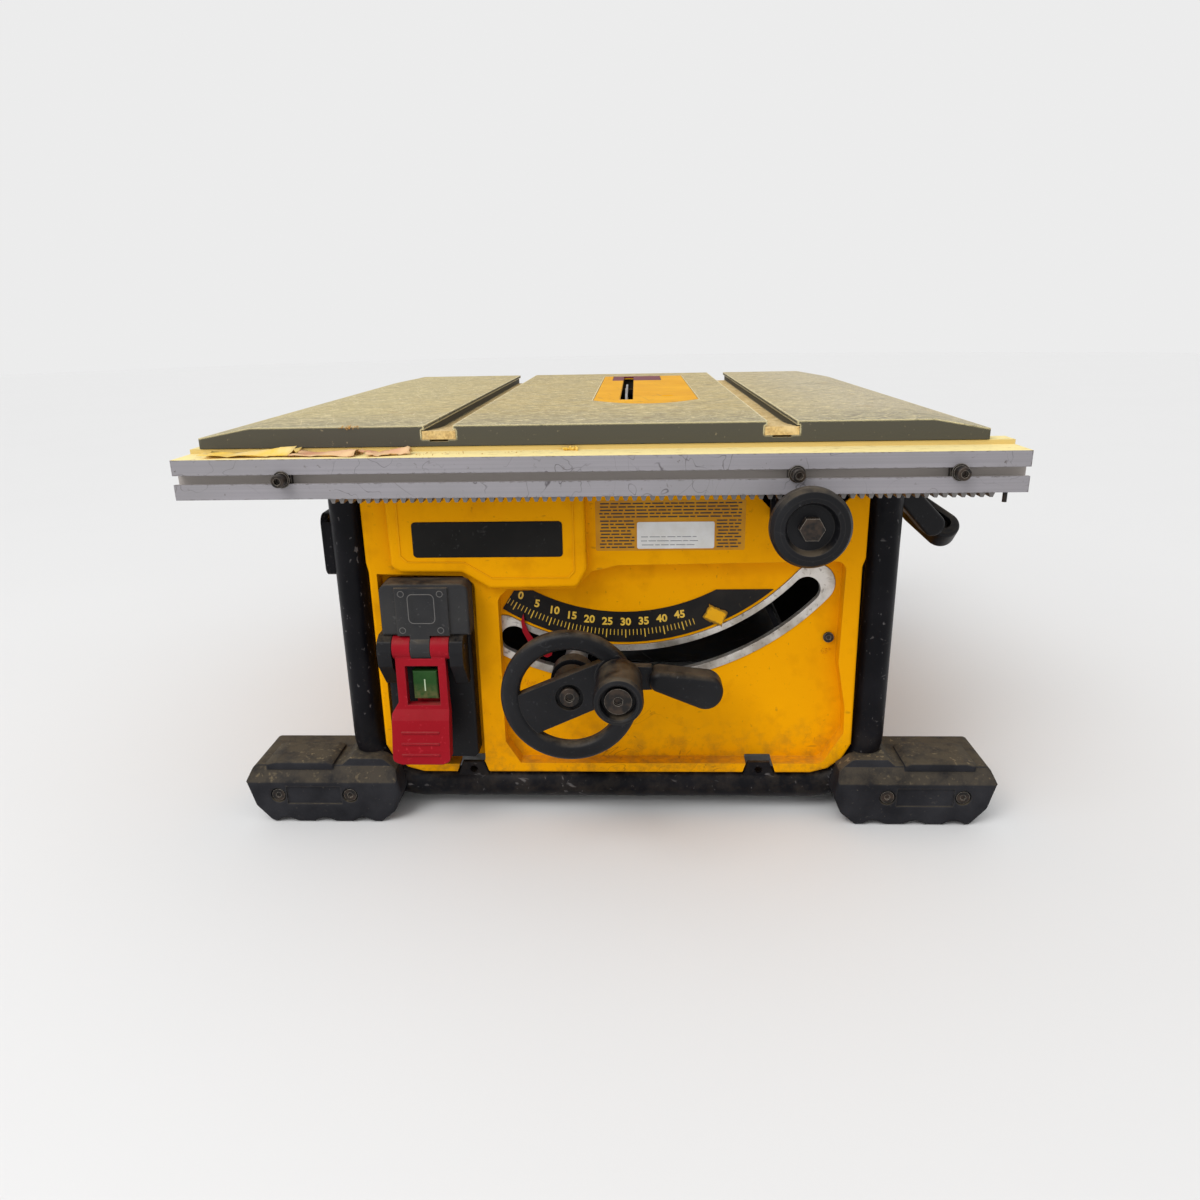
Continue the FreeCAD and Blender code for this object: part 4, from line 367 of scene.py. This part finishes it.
def steel(name, color=(0.46, 0.45, 0.44), roughness=0.38, rust=0.25):
    """Machined or plated steel with fine lines and a little grime."""
    fin = Finish(name, color, roughness, 0.85)
    fin.vary(40, tuple(c * 0.72 for c in color), 0.40, 0.70)
    lines = fin.noise(1.0, 3.0, 0.6, (40, 900, 900))
    fin.layer(fin.between(lines, 0.45, 0.70, 0, 0.4), tuple(c * 1.2 for c in color), roughness + 0.1)
    fin.raise_by(lines, 0.00003)
    grime = fin.times(fin.between(fin.noise(150, 5.0, 0.7), 0.55, 0.72), rust)
    fin.layer(grime, (0.16, 0.10, 0.06), 0.8)
    return fin.done(0.0003)


def coated_tube():
    """Black powder coat with scuffs to bare metal and brown dust."""
    fin = Finish("coated_tube", (0.0030, 0.0030, 0.0045), 0.38, 0.0, 0.10)
    fin.vary(25, (0.0075, 0.0070, 0.0095), 0.4, 0.7)
    dents = fin.times(fin.noise(38, 2.0, 0.5, warp=0.4), fin.position("Z", 0.205, 0.250))
    fin.raise_by(dents, 0.0022)
    fin.raise_by(fin.noise(1300, 3.0), 0.00005)
    for turn in (15, -35, 60):
        lines = fin.times(fin.scratches(turn, 24, 300, 0.70, 0.77), 0.6)
        fin.layer(lines, (0.16, 0.15, 0.15), 0.4)
    fin.layer(fin.times(fin.spatter(420), 0.25), (0.16, 0.14, 0.12), 0.8)
    low = fin.times(fin.position("Z", 0.09, 0.03), 0.35)
    patches = fin.between(fin.noise(70, 6.0, 0.7), 0.42, 0.62)
    dust = fin.times(patches, fin.most(low, fin.facing("Z", 0.4, 1.0)))
    fin.layer(fin.times(dust, 0.40), (0.11, 0.085, 0.060), 0.9)
    return fin.done()


def dusty_rubber():
    """Black rubber boots with brown dust thick on their upper faces."""
    fin = Finish("dusty_rubber", (0.010, 0.010, 0.0125), 0.62, 0.0, 0.12)
    fin.vary(30, (0.026, 0.026, 0.030), 0.35, 0.7)
    fin.raise_by(fin.noise(500, 5.0, 0.65), 0.00018)
    fin.layer(fin.times(fin.spatter(420), 0.5), (0.16, 0.14, 0.11), 0.9)
    cloudy = fin.between(fin.noise(60, 6.0, 0.7), 0.26, 0.55)
    settled = fin.times(fin.facing("Z", 0.25, 0.75), cloudy)
    fin.layer(fin.times(settled, 0.80), (0.095, 0.076, 0.050), 0.95)
    fin.layer(fin.times(settled, fin.spatter(260, 0.58, 0.66)), (0.22, 0.17, 0.10), 0.95)
    fin.layer(fin.times(fin.edges(0.0016), 0.3), (0.11, 0.10, 0.09), 0.75)
    return fin.done(0.0045)


def dark_plastic():
    return moulded("dark_plastic", (0.0060, 0.0060, 0.0072), (0.014, 0.014, 0.016), 0.40,
                   0.30, 900, 0.16, (0.05, 0.047, 0.044))


def motor_plastic():
    return moulded("motor_plastic", (0.010, 0.010, 0.011), (0.018, 0.018, 0.018), 0.55,
                   0.6, 900, 0.2)


def switch_plastic():
    return moulded("switch_plastic", (0.027, 0.027, 0.029), (0.042, 0.041, 0.040), 0.62,
                   0.45, 700, 0.12, (0.10, 0.09, 0.08))


def red_plastic():
    return moulded("red_plastic", (0.27, 0.0045, 0.011), (0.33, 0.008, 0.018), 0.42,
                   0.25, 1000, 0.08, (0.40, 0.04, 0.05))


def green_plastic():
    """Start button: green, dirtier towards its lower edge."""
    fin = Finish("green_plastic", (0.014, 0.052, 0.011), 0.35, 0.0, 0.10)
    fin.vary(90, (0.022, 0.070, 0.016), 0.4, 0.7)
    fin.raise_by(fin.noise(1500, 2.0), 0.00003)
    patches = fin.between(fin.noise(300, 4.0), 0.30, 0.60)
    dirty = fin.times(fin.position("Z", 0.128, 0.112), patches)
    fin.layer(fin.times(dirty, 0.75), (0.16, 0.12, 0.05), 0.9)
    return fin.done()


def insert_red():
    return moulded("insert_red", (0.13, 0.012, 0.028), (0.18, 0.022, 0.045), 0.5,
                   0.2, 900, 0.1)


def badge_plastic():
    return moulded("blank_plate", (0.008, 0.0075, 0.007), (0.016, 0.015, 0.014), 0.5,
                   0.2, 900, 0.1)


def scale_black():
    """Printed scale plate, scratched and lightly dusty."""
    fin = Finish("scale_black", (0.009, 0.008, 0.008), 0.45, 0.0, 0.15)
    fin.vary(45, (0.018, 0.015, 0.013), 0.4, 0.7)
    for turn in (25, -40):
        lines = fin.times(fin.scratches(turn, 30, 300, 0.72, 0.79), 0.35)
        fin.layer(lines, (0.14, 0.10, 0.05), 0.6)
    fin.raise_by(fin.noise(1200, 2.0), 0.00002)
    return fin.done(0.0002)


def cast_alloy():
    """Die-cast carriage parts: sandy, dull and dusty."""
    # Painted shade: the casting's grey is darkened to near black, for the shade inside the housing.
    fin = Finish("cast_alloy", (0.020, 0.020, 0.021), 0.55, 0.2, 0.15)
    fin.vary(30, (0.012, 0.012, 0.012), 0.4, 0.7)
    fin.raise_by(fin.noise(800, 4.0, 0.6), 0.00012)
    settled = fin.times(fin.facing("Z", 0.2, 0.8), fin.between(fin.noise(60, 5.0), 0.35, 0.6))
    fin.layer(fin.times(settled, 0.35), (0.36, 0.26, 0.11), 0.95)
    return fin.done()


def brass():
    return steel("brass_metal", (0.55, 0.38, 0.14), 0.35, 0.2)


def windings():
    """One finish for the stator and armature: copper dulled by iron."""
    return steel("copper_and_iron", (0.30, 0.17, 0.10), 0.5, 0.4)


def blade_steel():
    """Ground saw plate with fine lines from grinding and brown resin stains."""
    fin = Finish("blade_steel", (0.42, 0.41, 0.41), 0.35, 0.9)
    fin.vary(25, (0.25, 0.22, 0.19), 0.50, 0.75)
    lines = fin.noise(1.0, 2.0, 0.6, (900, 120, 900))
    fin.raise_by(lines, 0.00003)
    fin.layer(fin.between(lines, 0.5, 0.7, 0, 0.4), (0.56, 0.55, 0.54), 0.3)
    return fin.done(0.0002)


def zinc_quadrant():
    """Plated steel arc round the bevel slot, dirty and scratched."""
    fin = Finish("zinc_quadrant", (0.62, 0.59, 0.55), 0.33, 0.75)
    fin.vary(55, (0.36, 0.32, 0.27), 0.42, 0.65)
    for turn in (12, -30, 70):
        fin.layer(fin.times(fin.scratches(turn, 40, 330, 0.66, 0.74), 0.6), (0.10, 0.08, 0.06), 0.6)
    fin.layer(fin.between(fin.noise(260, 5.0, 0.7), 0.58, 0.70, 0, 0.8), (0.13, 0.10, 0.07), 0.8)
    fin.raise_by(fin.noise(600, 3.0), 0.00005)
    return fin.done()


def black_oxide():
    """Blackened screws with rust in them and bright worn edges."""
    fin = Finish("black_oxide", (0.012, 0.010, 0.009), 0.30, 0.3, 0.3)
    fin.vary(160, (0.045, 0.030, 0.021), 0.45, 0.65)
    fin.layer(fin.times(fin.edges(0.0007), 0.75), (0.36, 0.32, 0.27), 0.3)
    return fin.done(0.0005)


def paper(name, color, other):
    """Label film, paper or crumbs, clouded with a second colour."""
    fin = Finish(name, color, 0.8)
    fin.vary(60, other, 0.35, 0.65)
    fin.raise_by(fin.noise(500, 5.0), 0.0001)
    return fin.done(0.0001)


def print_ink(name, color, roughness=0.5):
    """Flat print, slightly uneven and rubbed."""
    fin = Finish(name, color, roughness)
    fin.vary(220, tuple(c * 0.82 for c in color), 0.4, 0.7)
    fin.raise_by(fin.noise(1500, 2.0), 0.00001)
    return fin.done(0.0001)


def sawdust():
    """Packed pale sawdust."""
    fin = Finish("sawdust", SAWDUST, 0.95)
    fin.vary(500, (0.48, 0.32, 0.13), 0.40, 0.65)
    fin.vary(120, (0.80, 0.62, 0.32), 0.45, 0.70)
    fin.raise_by(fin.noise(900, 5.0, 0.7), 0.0004)
    return fin.done(0.0001)


MATERIALS = {
    "table": table_metal(),
    "throat": yellow_plate(),
    "insert": insert_red(),
    "rail": rail_alloy(),
    # Painted shade: the rack's steel is darkened for the shade under the rail.
    "rack": steel("rack_steel", (0.20, 0.19, 0.185), 0.5, 0.25),
    "steel": steel("machined_steel"),
    "oxide": black_oxide(),
    "black": dark_plastic(),
    "tube": coated_tube(),
    "rubber": dusty_rubber(),
    "yellow": yellow_housing(),
    "zinc": zinc_quadrant(),
    "scale": scale_black(),
    "grey": switch_plastic(),
    "red": red_plastic(),
    "green": green_plastic(),
    "cast": cast_alloy(),
    "motor": motor_plastic(),
    "copper": windings(),
    "brass": brass(),
    "blade": blade_steel(),
    "sawdust": sawdust(),
    "cream_ink": print_ink("cream_ink", (0.78, 0.50, 0.05)),
    "white_paper": paper("white_paper", (0.80, 0.80, 0.80), (0.70, 0.69, 0.66)),
    "peach_paper": paper("peach_paper", (0.62, 0.30, 0.17), (0.74, 0.50, 0.26)),
    "yellow_paper": paper("yellow_paper", (0.80, 0.52, 0.07), (0.78, 0.60, 0.26)),
    "label": paper("label_film", (0.62, 0.28, 0.003), (0.52, 0.22, 0.005)),
    "rust_dust": paper("rust_dust", (0.42, 0.19, 0.04), (0.62, 0.40, 0.14)),
    "pale_line": print_ink("pale_line", (0.42, 0.52, 0.34)),
    "worn_line": print_ink("worn_line", (0.115, 0.110, 0.105), 0.7),
    "mark_ink": print_ink("mark_ink", (0.045, 0.030, 0.016), 0.6),
    "grey_ink": print_ink("grey_ink", (0.28, 0.28, 0.30), 0.6),
    "blank_plate": badge_plastic(),
}

NODE_FINISH = {
    "table": ("table_top",),
    "throat": ("throat_plate",),
    "insert": ("throat_insert",),
    "rail": ("front_rail", "rear_rail"),
    "rack": ("rail_racks",),
    "oxide": ("rail_screws", "rail_knob_nut", "housing_screws", "handwheel_bolts"),
    "steel": (
        "pinion_shaft", "rail_pinions", "hinge_pins", "carriage_beams", "guide_rods",
        "shaft_housing", "wheel_shaft", "lift_screw", "arbor_bearings", "arbor",
        "blade_clamp", "arbor_gear", "riving_knife",
    ),
    "black": (
        "rail_knob", "rail_lock_lever", "switch_housing", "bevel_lock_lever",
        "handwheel", "crank_handle", "knife_knob", "dust_port",
    ),
    "tube": (
        "front_frame_tube", "rear_frame_tube", "side_frame_tubes", "storage_bracket",
        "rail_guides", "rail_brackets", "carriage_plates",
    ),
    "rubber": ("feet", "cord_gland"),
    "yellow": ("front_panel", "side_panels", "rear_panel"),
    "zinc": ("bevel_quadrant",),
    "scale": ("bevel_scale",),
    "grey": ("switch_cover",),
    "red": ("stop_paddle", "stop_button", "bevel_pointer"),
    "green": ("start_button",),
    "cast": ("trunnions", "lift_carriage", "gear_cover"),
    "motor": ("motor_housing", "motor_end_cap", "blade_shroud"),
    "copper": ("motor_stator", "armature"),
    "brass": ("lift_nut",),
    "blade": ("blade",),
}


def paint_nodes():
    """Gives every CAD node its material."""
    for finish, names in NODE_FINISH.items():
        for name in names:
            materials = nodes[name].data.materials
            materials.clear()
            materials.append(MATERIALS[finish])


paint_nodes()


# ---------------------------------------------------------------- piece building


def piece(name, mesh_data, finish, body):
    """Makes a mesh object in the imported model's frame and lets it ride on a body."""
    item = bpy.data.objects.new(name, mesh_data)
    bpy.context.scene.collection.objects.link(item)
    mesh_data.materials.clear()
    mesh_data.materials.append(MATERIALS[finish])
    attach(item, body)
    return item


def from_bmesh(work, name, smooth=False):
    bmesh.ops.recalc_face_normals(work, faces=work.faces)
    for face in work.faces:
        face.smooth = smooth
    mesh = bpy.data.meshes.new(name)
    work.to_mesh(mesh)
    work.free()
    return mesh


def add_bevel(item, width):
    bevel = item.modifiers.new("bevel", "BEVEL")
    bevel.width = width
    bevel.segments = 2
    bevel.limit_method = "ANGLE"


def slab(work, corners, depth):
    """Adds a flat plate: corners in order, pushed along a depth vector."""
    low = [work.verts.new(c) for c in corners]
    high = [work.verts.new(Vector(c) + Vector(depth)) for c in corners]
    count = len(corners)
    work.faces.new(low)
    work.faces.new(list(reversed(high)))
    for i in range(count):
        j = (i + 1) % count
        work.faces.new((low[i], high[i], high[j], low[j]))


def rounded_rectangle(x_low, x_high, z_low, z_high, radius):
    """Corner points (x, z) of a rectangle with round corners, from millimetres."""
    steps = 5
    points = []
    centres = (
        (x_high - radius, z_high - radius, 0),
        (x_low + radius, z_high - radius, 90),
        (x_low + radius, z_low + radius, 180),
        (x_high - radius, z_low + radius, 270),
    )
    for cx, cz, start in centres:
        for i in range(steps + 1):
            angle = math.radians(start + 90 * i / steps)
            x = cx + radius * math.cos(angle)
            z = cz + radius * math.sin(angle)
            points.append((x * MM, z * MM))
    return points


# ---------------------------------------------------------------- bevel scale

TILT_AXIS = (8.5 * MM, 330 * MM)
SCALE_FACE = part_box("bevel_scale")[0].y
# Degrees round the tilt axis: where 0 is printed, and the step of one mark.
SCALE_START = -30.6
SCALE_STEP = 1.03


def on_arc(radius, degrees):
    """A point (x, z) about the tilt axis, counted from straight down."""
    angle = math.radians(degrees)
    return (
        TILT_AXIS[0] + radius * math.sin(angle),
        TILT_AXIS[1] - radius * math.cos(angle),
    )


def scale_ticks():
    """A mark for each degree, longer and wider at every fifth."""
    work = bmesh.new()
    inner = 171.0 * MM
    for mark in range(-2, 49):
        angle = SCALE_START + SCALE_STEP * mark
        outer = 178.2 * MM if mark % 5 == 0 else 176.0 * MM
        half = 0.13 if mark % 5 == 0 else 0.09
        corners = []
        for radius, side in ((inner, -1), (inner, 1), (outer, 1), (outer, -1)):
            x, z = on_arc(radius, angle + side * half)
            corners.append((x, SCALE_FACE, z))
        slab(work, corners, (0, -0.15 * MM, 0))
    mesh = from_bmesh(work, "scale_ticks")
    piece("scale_ticks", mesh, "cream_ink", "base")


def lettering(text, size, depth, thicken):
    """Mesh of a short number standing in the XZ plane, centred, facing -Y."""
    curve = bpy.data.curves.new("number", "FONT")
    curve.body = text
    curve.size = size
    curve.extrude = depth / 2
    curve.offset = thicken
    curve.align_x = "CENTER"
    curve.align_y = "CENTER"
    curve.resolution_u = 3
    holder = bpy.data.objects.new("number", curve)
    bpy.context.scene.collection.objects.link(holder)
    bpy.context.view_layer.update()
    mesh = bpy.data.meshes.new_from_object(
        holder.evaluated_get(bpy.context.evaluated_depsgraph_get())
    )
    bpy.data.objects.remove(holder)
    bpy.data.curves.remove(curve)
    mesh.transform(Matrix.Rotation(math.radians(90), 4, "X"))
    return mesh


def scale_numbers():
    """Numbers 0 to 45 along the arc, leaning a little less than it does."""
    work = bmesh.new()
    height, radius, lean = 8.8 * MM, 164.6 * MM, 0.45
    for number in range(0, 50, 5):
        angle = SCALE_START + SCALE_STEP * number
        mesh = lettering(str(number), height, 0.15 * MM, 0.28 * MM)
        x, z = on_arc(radius, angle)
        turn = Matrix.Rotation(-math.radians(lean * angle), 4, "Y")
        mesh.transform(Matrix.Translation((x, SCALE_FACE - 0.08 * MM, z)) @ turn)
        work.from_mesh(mesh)
        bpy.data.meshes.remove(mesh)
    mesh = from_bmesh(work, "scale_numbers")
    piece("scale_numbers", mesh, "cream_ink", "base")


scale_ticks()
scale_numbers()


# ---------------------------------------------------------------- raised marks


def embossed_angles():
    """The blade's end stops, marked in relief beside the slot's two ends."""
    for name, text, x, z in (
        ("mark_90", "90\u00b0", -70, 110),
        ("mark_45", "45\u00b0", 172, 139),
    ):
        mesh = lettering(text, 6.5 * MM, 0.5 * MM, 0.05 * MM)
        mesh.transform(Matrix.Translation((x * MM, PANEL_FLOOR - 0.1 * MM, z * MM)))
        piece(name, mesh, "yellow", "base")


def outline_strip(work, outer, inner, y, depth):
    """A flat closed strip between two outlines of equal length."""
    count = len(outer)
    for i in range(count):
        j = (i + 1) % count
        corners = [(x, y, z) for x, z in (outer[i], outer[j], inner[j], inner[i])]
        slab(work, corners, (0, -depth, 0))


def circle_points(x, z, radius):
    """Points (x, z) round a circle, from millimetres."""
    steps = 20
    points = []
    for i in range(steps):
        turn = 2 * math.pi * i / steps
        px = x + radius * math.cos(turn)
        pz = z + radius * math.sin(turn)
        points.append((px * MM, pz * MM))
    return points


def cover_relief():
    """Moulded lines on the switch cover: a blank square and four rings."""
    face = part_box("switch_cover")[0].y
    work = bmesh.new()
    line = 0.6
    outer = rounded_rectangle(-157.5, -136.5, 179, 203, 4)
    inner = rounded_rectangle(-157.5 + line, -136.5 - line, 179 + line, 203 - line, 4 - line)
    outline_strip(work, outer, inner, face, 0.25 * MM)
    for x, z in ((-162.8, 173.5), (-133, 173.5), (-162, 203), (-132, 203)):
        ring = circle_points(x, z, 2.6)
        hole = circle_points(x, z, 2.1)
        outline_strip(work, ring, hole, face, 0.2 * MM)
    piece("cover_relief", from_bmesh(work, "cover_relief"), "worn_line", "base")


def upright_plate(work, x, z, y, thickness):
    """A rectangle between two x and two z, in millimetres, raised towards -Y."""
    outline = ((x[0], z[0]), (x[1], z[0]), (x[1], z[1]), (x[0], z[1]))
    slab(work, [(px * MM, y, pz * MM) for px, pz in outline], (0, -thickness * MM, 0))


def button_mark():
    """The plain pale line on the start button."""
    work = bmesh.new()
    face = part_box("start_button")[0].y
    upright_plate(work, (-150.5, -149.5), (121, 131), face, 0.12)
    piece("button_mark", from_bmesh(work, "button_mark"), "pale_line", "start_button")


def dust_sheet():
    """Black sheet under the rear half of the housing, put there as painted shade: it keeps the pale
    floor from showing into the housing.
    """
    work = bmesh.new()
    underside, thickness = 37 * MM, 0.8 * MM
    outline = rounded_rectangle(-186, 186, 20, 255, 6)
    slab(work, [(x, y, underside) for x, y in outline], (0, 0, thickness))
    sheet = piece("dust_sheet", from_bmesh(work, "dust_sheet"), "tube", "base")
    add_bevel(sheet, 0.2 * MM)


def edge_seals():
    """Dark rubber strips in the gaps between the front panel and the legs: painted shade where the
    panel meets the legs.
    """
    for side, name in ((-1, "left_gap_shade"), (1, "right_gap_shade")):
        work = bmesh.new()
        upright_plate(work, (side * 192.5, side * 204), (64, 296), -196 * MM, 2)
        strip = piece(name, from_bmesh(work, name), "rubber", "base")
        add_bevel(strip, 0.4 * MM)


embossed_angles()
cover_relief()
button_mark()
dust_sheet()
edge_seals()


# ---------------------------------------------------------------- labels and debris


# Thickness of the printed label and of the sticker beside it, in millimetres.
LABEL_FILM = 0.15
STICKER_FILM = 0.35


def sticker(name, x, z, thickness, finish):
    """A flat label on the front panel's upper band, with rounded corners."""
    work = bmesh.new()
    outline = rounded_rectangle(x[0], x[1], z[0], z[1], 1.5)
    slab(work, [(px, LABEL_BAND, pz) for px, pz in outline], (0, -thickness * MM, 0))
    piece(name, from_bmesh(work, name), finish, "base")


def torn_sheet(name, middle, size, turn, lift, finish, body, slot_name, stand=0):
    """A crumpled scrap with a ragged edge, flat or, at stand 90, upright."""
    work = bmesh.new()
    columns, rows = 14, 8
    grid = []
    for i in range(columns + 1):
        line = []
        for j in range(rows + 1):
            ragged = 1 + random.uniform(-0.10, 0.10)
            u = (i / columns - 0.5) * size[0] * ragged
            v = (j / rows - 0.5) * size[1] * ragged
            fold = 0.5 + 0.5 * math.sin(5.5 * i / columns + 0.9 * j)
            height = lift * fold * abs(i / columns - 0.3) + random.uniform(0, 0.12) * lift
            line.append(work.verts.new((u * MM, v * MM, height * MM)))
        grid.append(line)
    for i in range(columns):
        for j in range(rows):
            work.faces.new((grid[i][j], grid[i + 1][j], grid[i + 1][j + 1], grid[i][j + 1]))
    mesh = from_bmesh(work, name, True)
    upright = Matrix.Rotation(math.radians(stand), 4, "X")
    turned = Matrix.Rotation(math.radians(turn), 4, "Z")
    mesh.transform(Matrix.Translation(Vector(middle) * MM) @ upright @ turned)
    item = piece(name, mesh, finish, body)
    sheet = item.modifiers.new("thickness", "SOLIDIFY")
    sheet.thickness = 0.25 * MM
    sheet.offset = 1


def crumbs(name, middle, spread, count, size, finish, body, slot_name):
    """A small drift of crumbs, thickest in the middle."""
    work = bmesh.new()
    for _ in range(count):
        radius = random.uniform(0.4, 1.0) * size * MM
        at = Vector(middle) * MM
        at += Vector([random.gauss(0, 0.4) * reach * MM for reach in spread])
        flat = Matrix.Diagonal((1, 0.8, 0.5, 1))
        twist = Matrix.Rotation(random.uniform(0, 3), 4, (random.random(), 1, random.random()))
        matrix = Matrix.Translation(at) @ twist @ flat
        bmesh.ops.create_icosphere(work, subdivisions=1, radius=radius, matrix=matrix)
    piece(name, from_bmesh(work, name), finish, body)


def slot_sawdust(name, middle):
    """Sawdust packed in the front of a T-slot and thinning towards the back."""
    work = bmesh.new()
    floor = SLOT_FLOOR - 0.05 * MM
    front = TABLE_FRONT + 0.3 * MM
    length, packed_length = 550 * MM, 90 * MM
    rows = [front + length * (i / 60) ** 1.6 for i in range(61)]
    columns = [-12.2, -9.5, -6.8, -6.5, -3, 0, 3, 6.5, 6.8, 9.5, 12.2]
    grid = []
    for y in rows:
        packed = max(0.0, 1 - (y - front) / packed_length)
        line = []
        for dx in columns:
            height = 0.25 + 5.6 * packed ** 1.5 + random.uniform(0, 0.35)
            line.append(work.verts.new((middle + dx * MM, y, floor + height * MM)))
        grid.append(line)
    base = [work.verts.new((middle + dx * MM, front, floor)) for dx in columns]
    for i in range(len(columns) - 1):
        work.faces.new((base[i], base[i + 1], grid[0][i + 1], grid[0][i]))
        for j in range(len(rows) - 1):
            work.faces.new((grid[j][i], grid[j][i + 1], grid[j + 1][i + 1], grid[j + 1][i]))
    piece(name, from_bmesh(work, name), "sawdust", "base")


def printed_rows(name, x, z, rows, gap, height, under, finish):
    """Rows of short plain bars, like small print, on a film as thick as under."""
    work = bmesh.new()
    face = LABEL_BAND - under * MM
    for row in range(rows):
        left = x[0] + random.uniform(0, 1.5)
        base = z + row * gap
        while left < x[1] - 2:
            right = min(x[1], left + random.uniform(2.5, 9))
            upright_plate(work, (left, right), (base, base + height), face, 0.08)
            left = right + random.uniform(0.8, 1.4)
    piece(name, from_bmesh(work, name), finish, "base")


# Corners (x, z) of the line that follows the pad's edge, in millimetres.
PAD_FRAME = (
    (-165, 292), (-165, 228), (-160, 223), (-115, 222.5),
    (-94, 209.5), (-34, 209.5), (-29, 215), (-29, 292),
)
FRAME_MIDDLE = (-97, 250)


def badge():
    """A raised line that follows the front panel's pad, round a plain dark plate."""
    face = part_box("front_panel")[0].y
    middle_x, middle_z = FRAME_MIDDLE
    outer = []
    inner = []
    for x, z in PAD_FRAME:
        outer.append((x * MM, z * MM))
        inner_x = middle_x + (x - middle_x) * 0.983
        inner_z = middle_z + (z - middle_z) * 0.97
        inner.append((inner_x * MM, inner_z * MM))
    work = bmesh.new()
    outline_strip(work, outer, inner, face, 0.6 * MM)
    mesh = from_bmesh(work, "pad_frame")
    add_bevel(piece("pad_frame", mesh, "yellow", "base"), 0.2 * MM)
    work = bmesh.new()
    plate = rounded_rectangle(-154, -38, 227, 255, 3)
    slab(work, [(x, face, z) for x, z in plate], (0, -0.4 * MM, 0))
    piece("blank_badge", from_bmesh(work, "blank_badge"), "blank_plate", "base")


def rail_debris():
    """Scraps of torn label and crumbs along the front rail's top."""
    rail = ("fence_rails", "rail_alu")
    top = RAIL_TOP / MM
    torn_sheet("yellow_scrap", (-258, -266, top), (66, 20), 4, 9, "yellow_paper", *rail)
    torn_sheet("peach_scrap", (-202, -266, top), (50, 20), -4, 6, "peach_paper", *rail)
    torn_sheet("small_scrap", (-158, -266, top), (30, 18), 14, 7, "peach_paper", *rail)
    crumbs("yellow_crumbs", (-27, -256, top + 0.6), (10, 2, 1), 26, 2.2, "yellow_paper", *rail)
    crumbs("rail_crumbs", (-150, -266, top), (120, 8, 0.6), 60, 0.9, "sawdust", *rail)


badge()
sticker("side_label", (-13, 102), (228.8, 268.5), LABEL_FILM, "label")
for name, x, z, rows in (
    ("label_rows_low", (-10, 17), 231, 9),
    ("label_rows_right", (80, 99), 231, 9),
    ("label_rows_high", (-10, 99), 255, 5),
):
    printed_rows(name, x, z, rows, 2.6, 1.1, LABEL_FILM, "mark_ink")
sticker("blank_sticker", (19, 78.5), (230.3, 251.4), STICKER_FILM, "white_paper")
printed_rows("sticker_rows", (22, 66), 233, 3, 3.2, 0.6, STICKER_FILM, "grey_ink")
rail_debris()
crumbs(
    "rusty_clump", (-188, -252.4, 329.2), (9, 1.2, 1.2), 60, 1.1,
    "rust_dust", "base", "table_grey",
)
torn_sheet(
    "label_scrap", (82, -212.6, 171), (17, 13), -24, 1.4,
    "throat", "base", "quadrant_zinc", 90,
)
for side, middle in SLOT_MIDDLES.items():
    slot_sawdust(side + "_slot_sawdust", middle)


# ---------------------------------------------------------------- stage

FLOOR_COLOR = (0.73, 0.73, 0.73)
WORLD_COLOR = (0.84, 0.84, 0.84, 1)


def make_floor():
    """A pale disc, wide enough to reach past the picture's horizon."""
    work = bmesh.new()
    bmesh.ops.create_circle(work, cap_ends=True, segments=96, radius=9)
    mesh = from_bmesh(work, "floor")
    floor = bpy.data.objects.new("floor", mesh)
    bpy.context.scene.collection.objects.link(floor)
    fin = Finish("floor_paper", FLOOR_COLOR, 0.9)
    fin.vary(3, tuple(c * 0.99 for c in FLOOR_COLOR))
    mesh.materials.append(fin.done())


def make_world():
    """An even, pale studio all round."""
    world = bpy.data.worlds.new("soft_studio")
    world.use_nodes = True
    world.node_tree.nodes["Background"].inputs["Color"].default_value = WORLD_COLOR
    bpy.context.scene.world = world


def softbox(name, place, target, width, height, power):
    """A white rectangular light aimed at a point."""
    data = bpy.data.lights.new(name, "AREA")
    data.shape = "RECTANGLE"
    data.size = width
    data.size_y = height
    data.energy = power
    item = bpy.data.objects.new(name, data)
    item.location = place
    aim = Vector(target) - Vector(place)
    item.rotation_euler = aim.to_track_quat("-Z", "Y").to_euler()
    bpy.context.scene.collection.objects.link(item)


def soft_sun(direction, strength):
    """Wide, even daylight from one side."""
    data = bpy.data.lights.new("soft_sun", "SUN")
    data.energy = strength
    data.angle = math.radians(38)
    item = bpy.data.objects.new("soft_sun", data)
    item.rotation_euler = (-Vector(direction)).to_track_quat("-Z", "Y").to_euler()
    bpy.context.scene.collection.objects.link(item)


def make_camera():
    """The photograph's viewpoint, turned, pitched and rolled as solved."""
    place = (0.018876, -0.885665, 0.402208)
    yaw = math.radians(2.5527)
    pitch = math.radians(17.9039)
    roll = math.radians(-1.0736)
    level = Vector((-math.sin(yaw), math.cos(yaw), 0))
    forward = level * math.cos(pitch) - Vector((0, 0, math.sin(pitch)))
    right = Vector((math.cos(yaw), math.sin(yaw), 0))
    up = right.cross(forward)
    right_rolled = right * math.cos(roll) + up * math.sin(roll)
    up_rolled = up * math.cos(roll) - right * math.sin(roll)
    data = bpy.data.cameras.new("camera")
    data.lens = 26.307
    data.sensor_width = 36
    data.clip_start = 0.01
    camera = bpy.data.objects.new("camera", data)
    turn = Matrix((right_rolled, up_rolled, -forward)).transposed()
    camera.matrix_world = Matrix.Translation(place) @ turn.to_4x4()
    bpy.context.scene.collection.objects.link(camera)
    bpy.context.scene.camera = camera


make_floor()
make_world()
soft_sun(direction=(-0.45, -0.55, 1.0), strength=1.1)
softbox(
    "window_left", place=(-0.8, -1.3, 1.2), target=(0, -0.2, 0.2),
    width=0.5, height=0.7, power=5,
)
make_camera()
bpy.context.scene.view_settings.view_transform = "Standard"
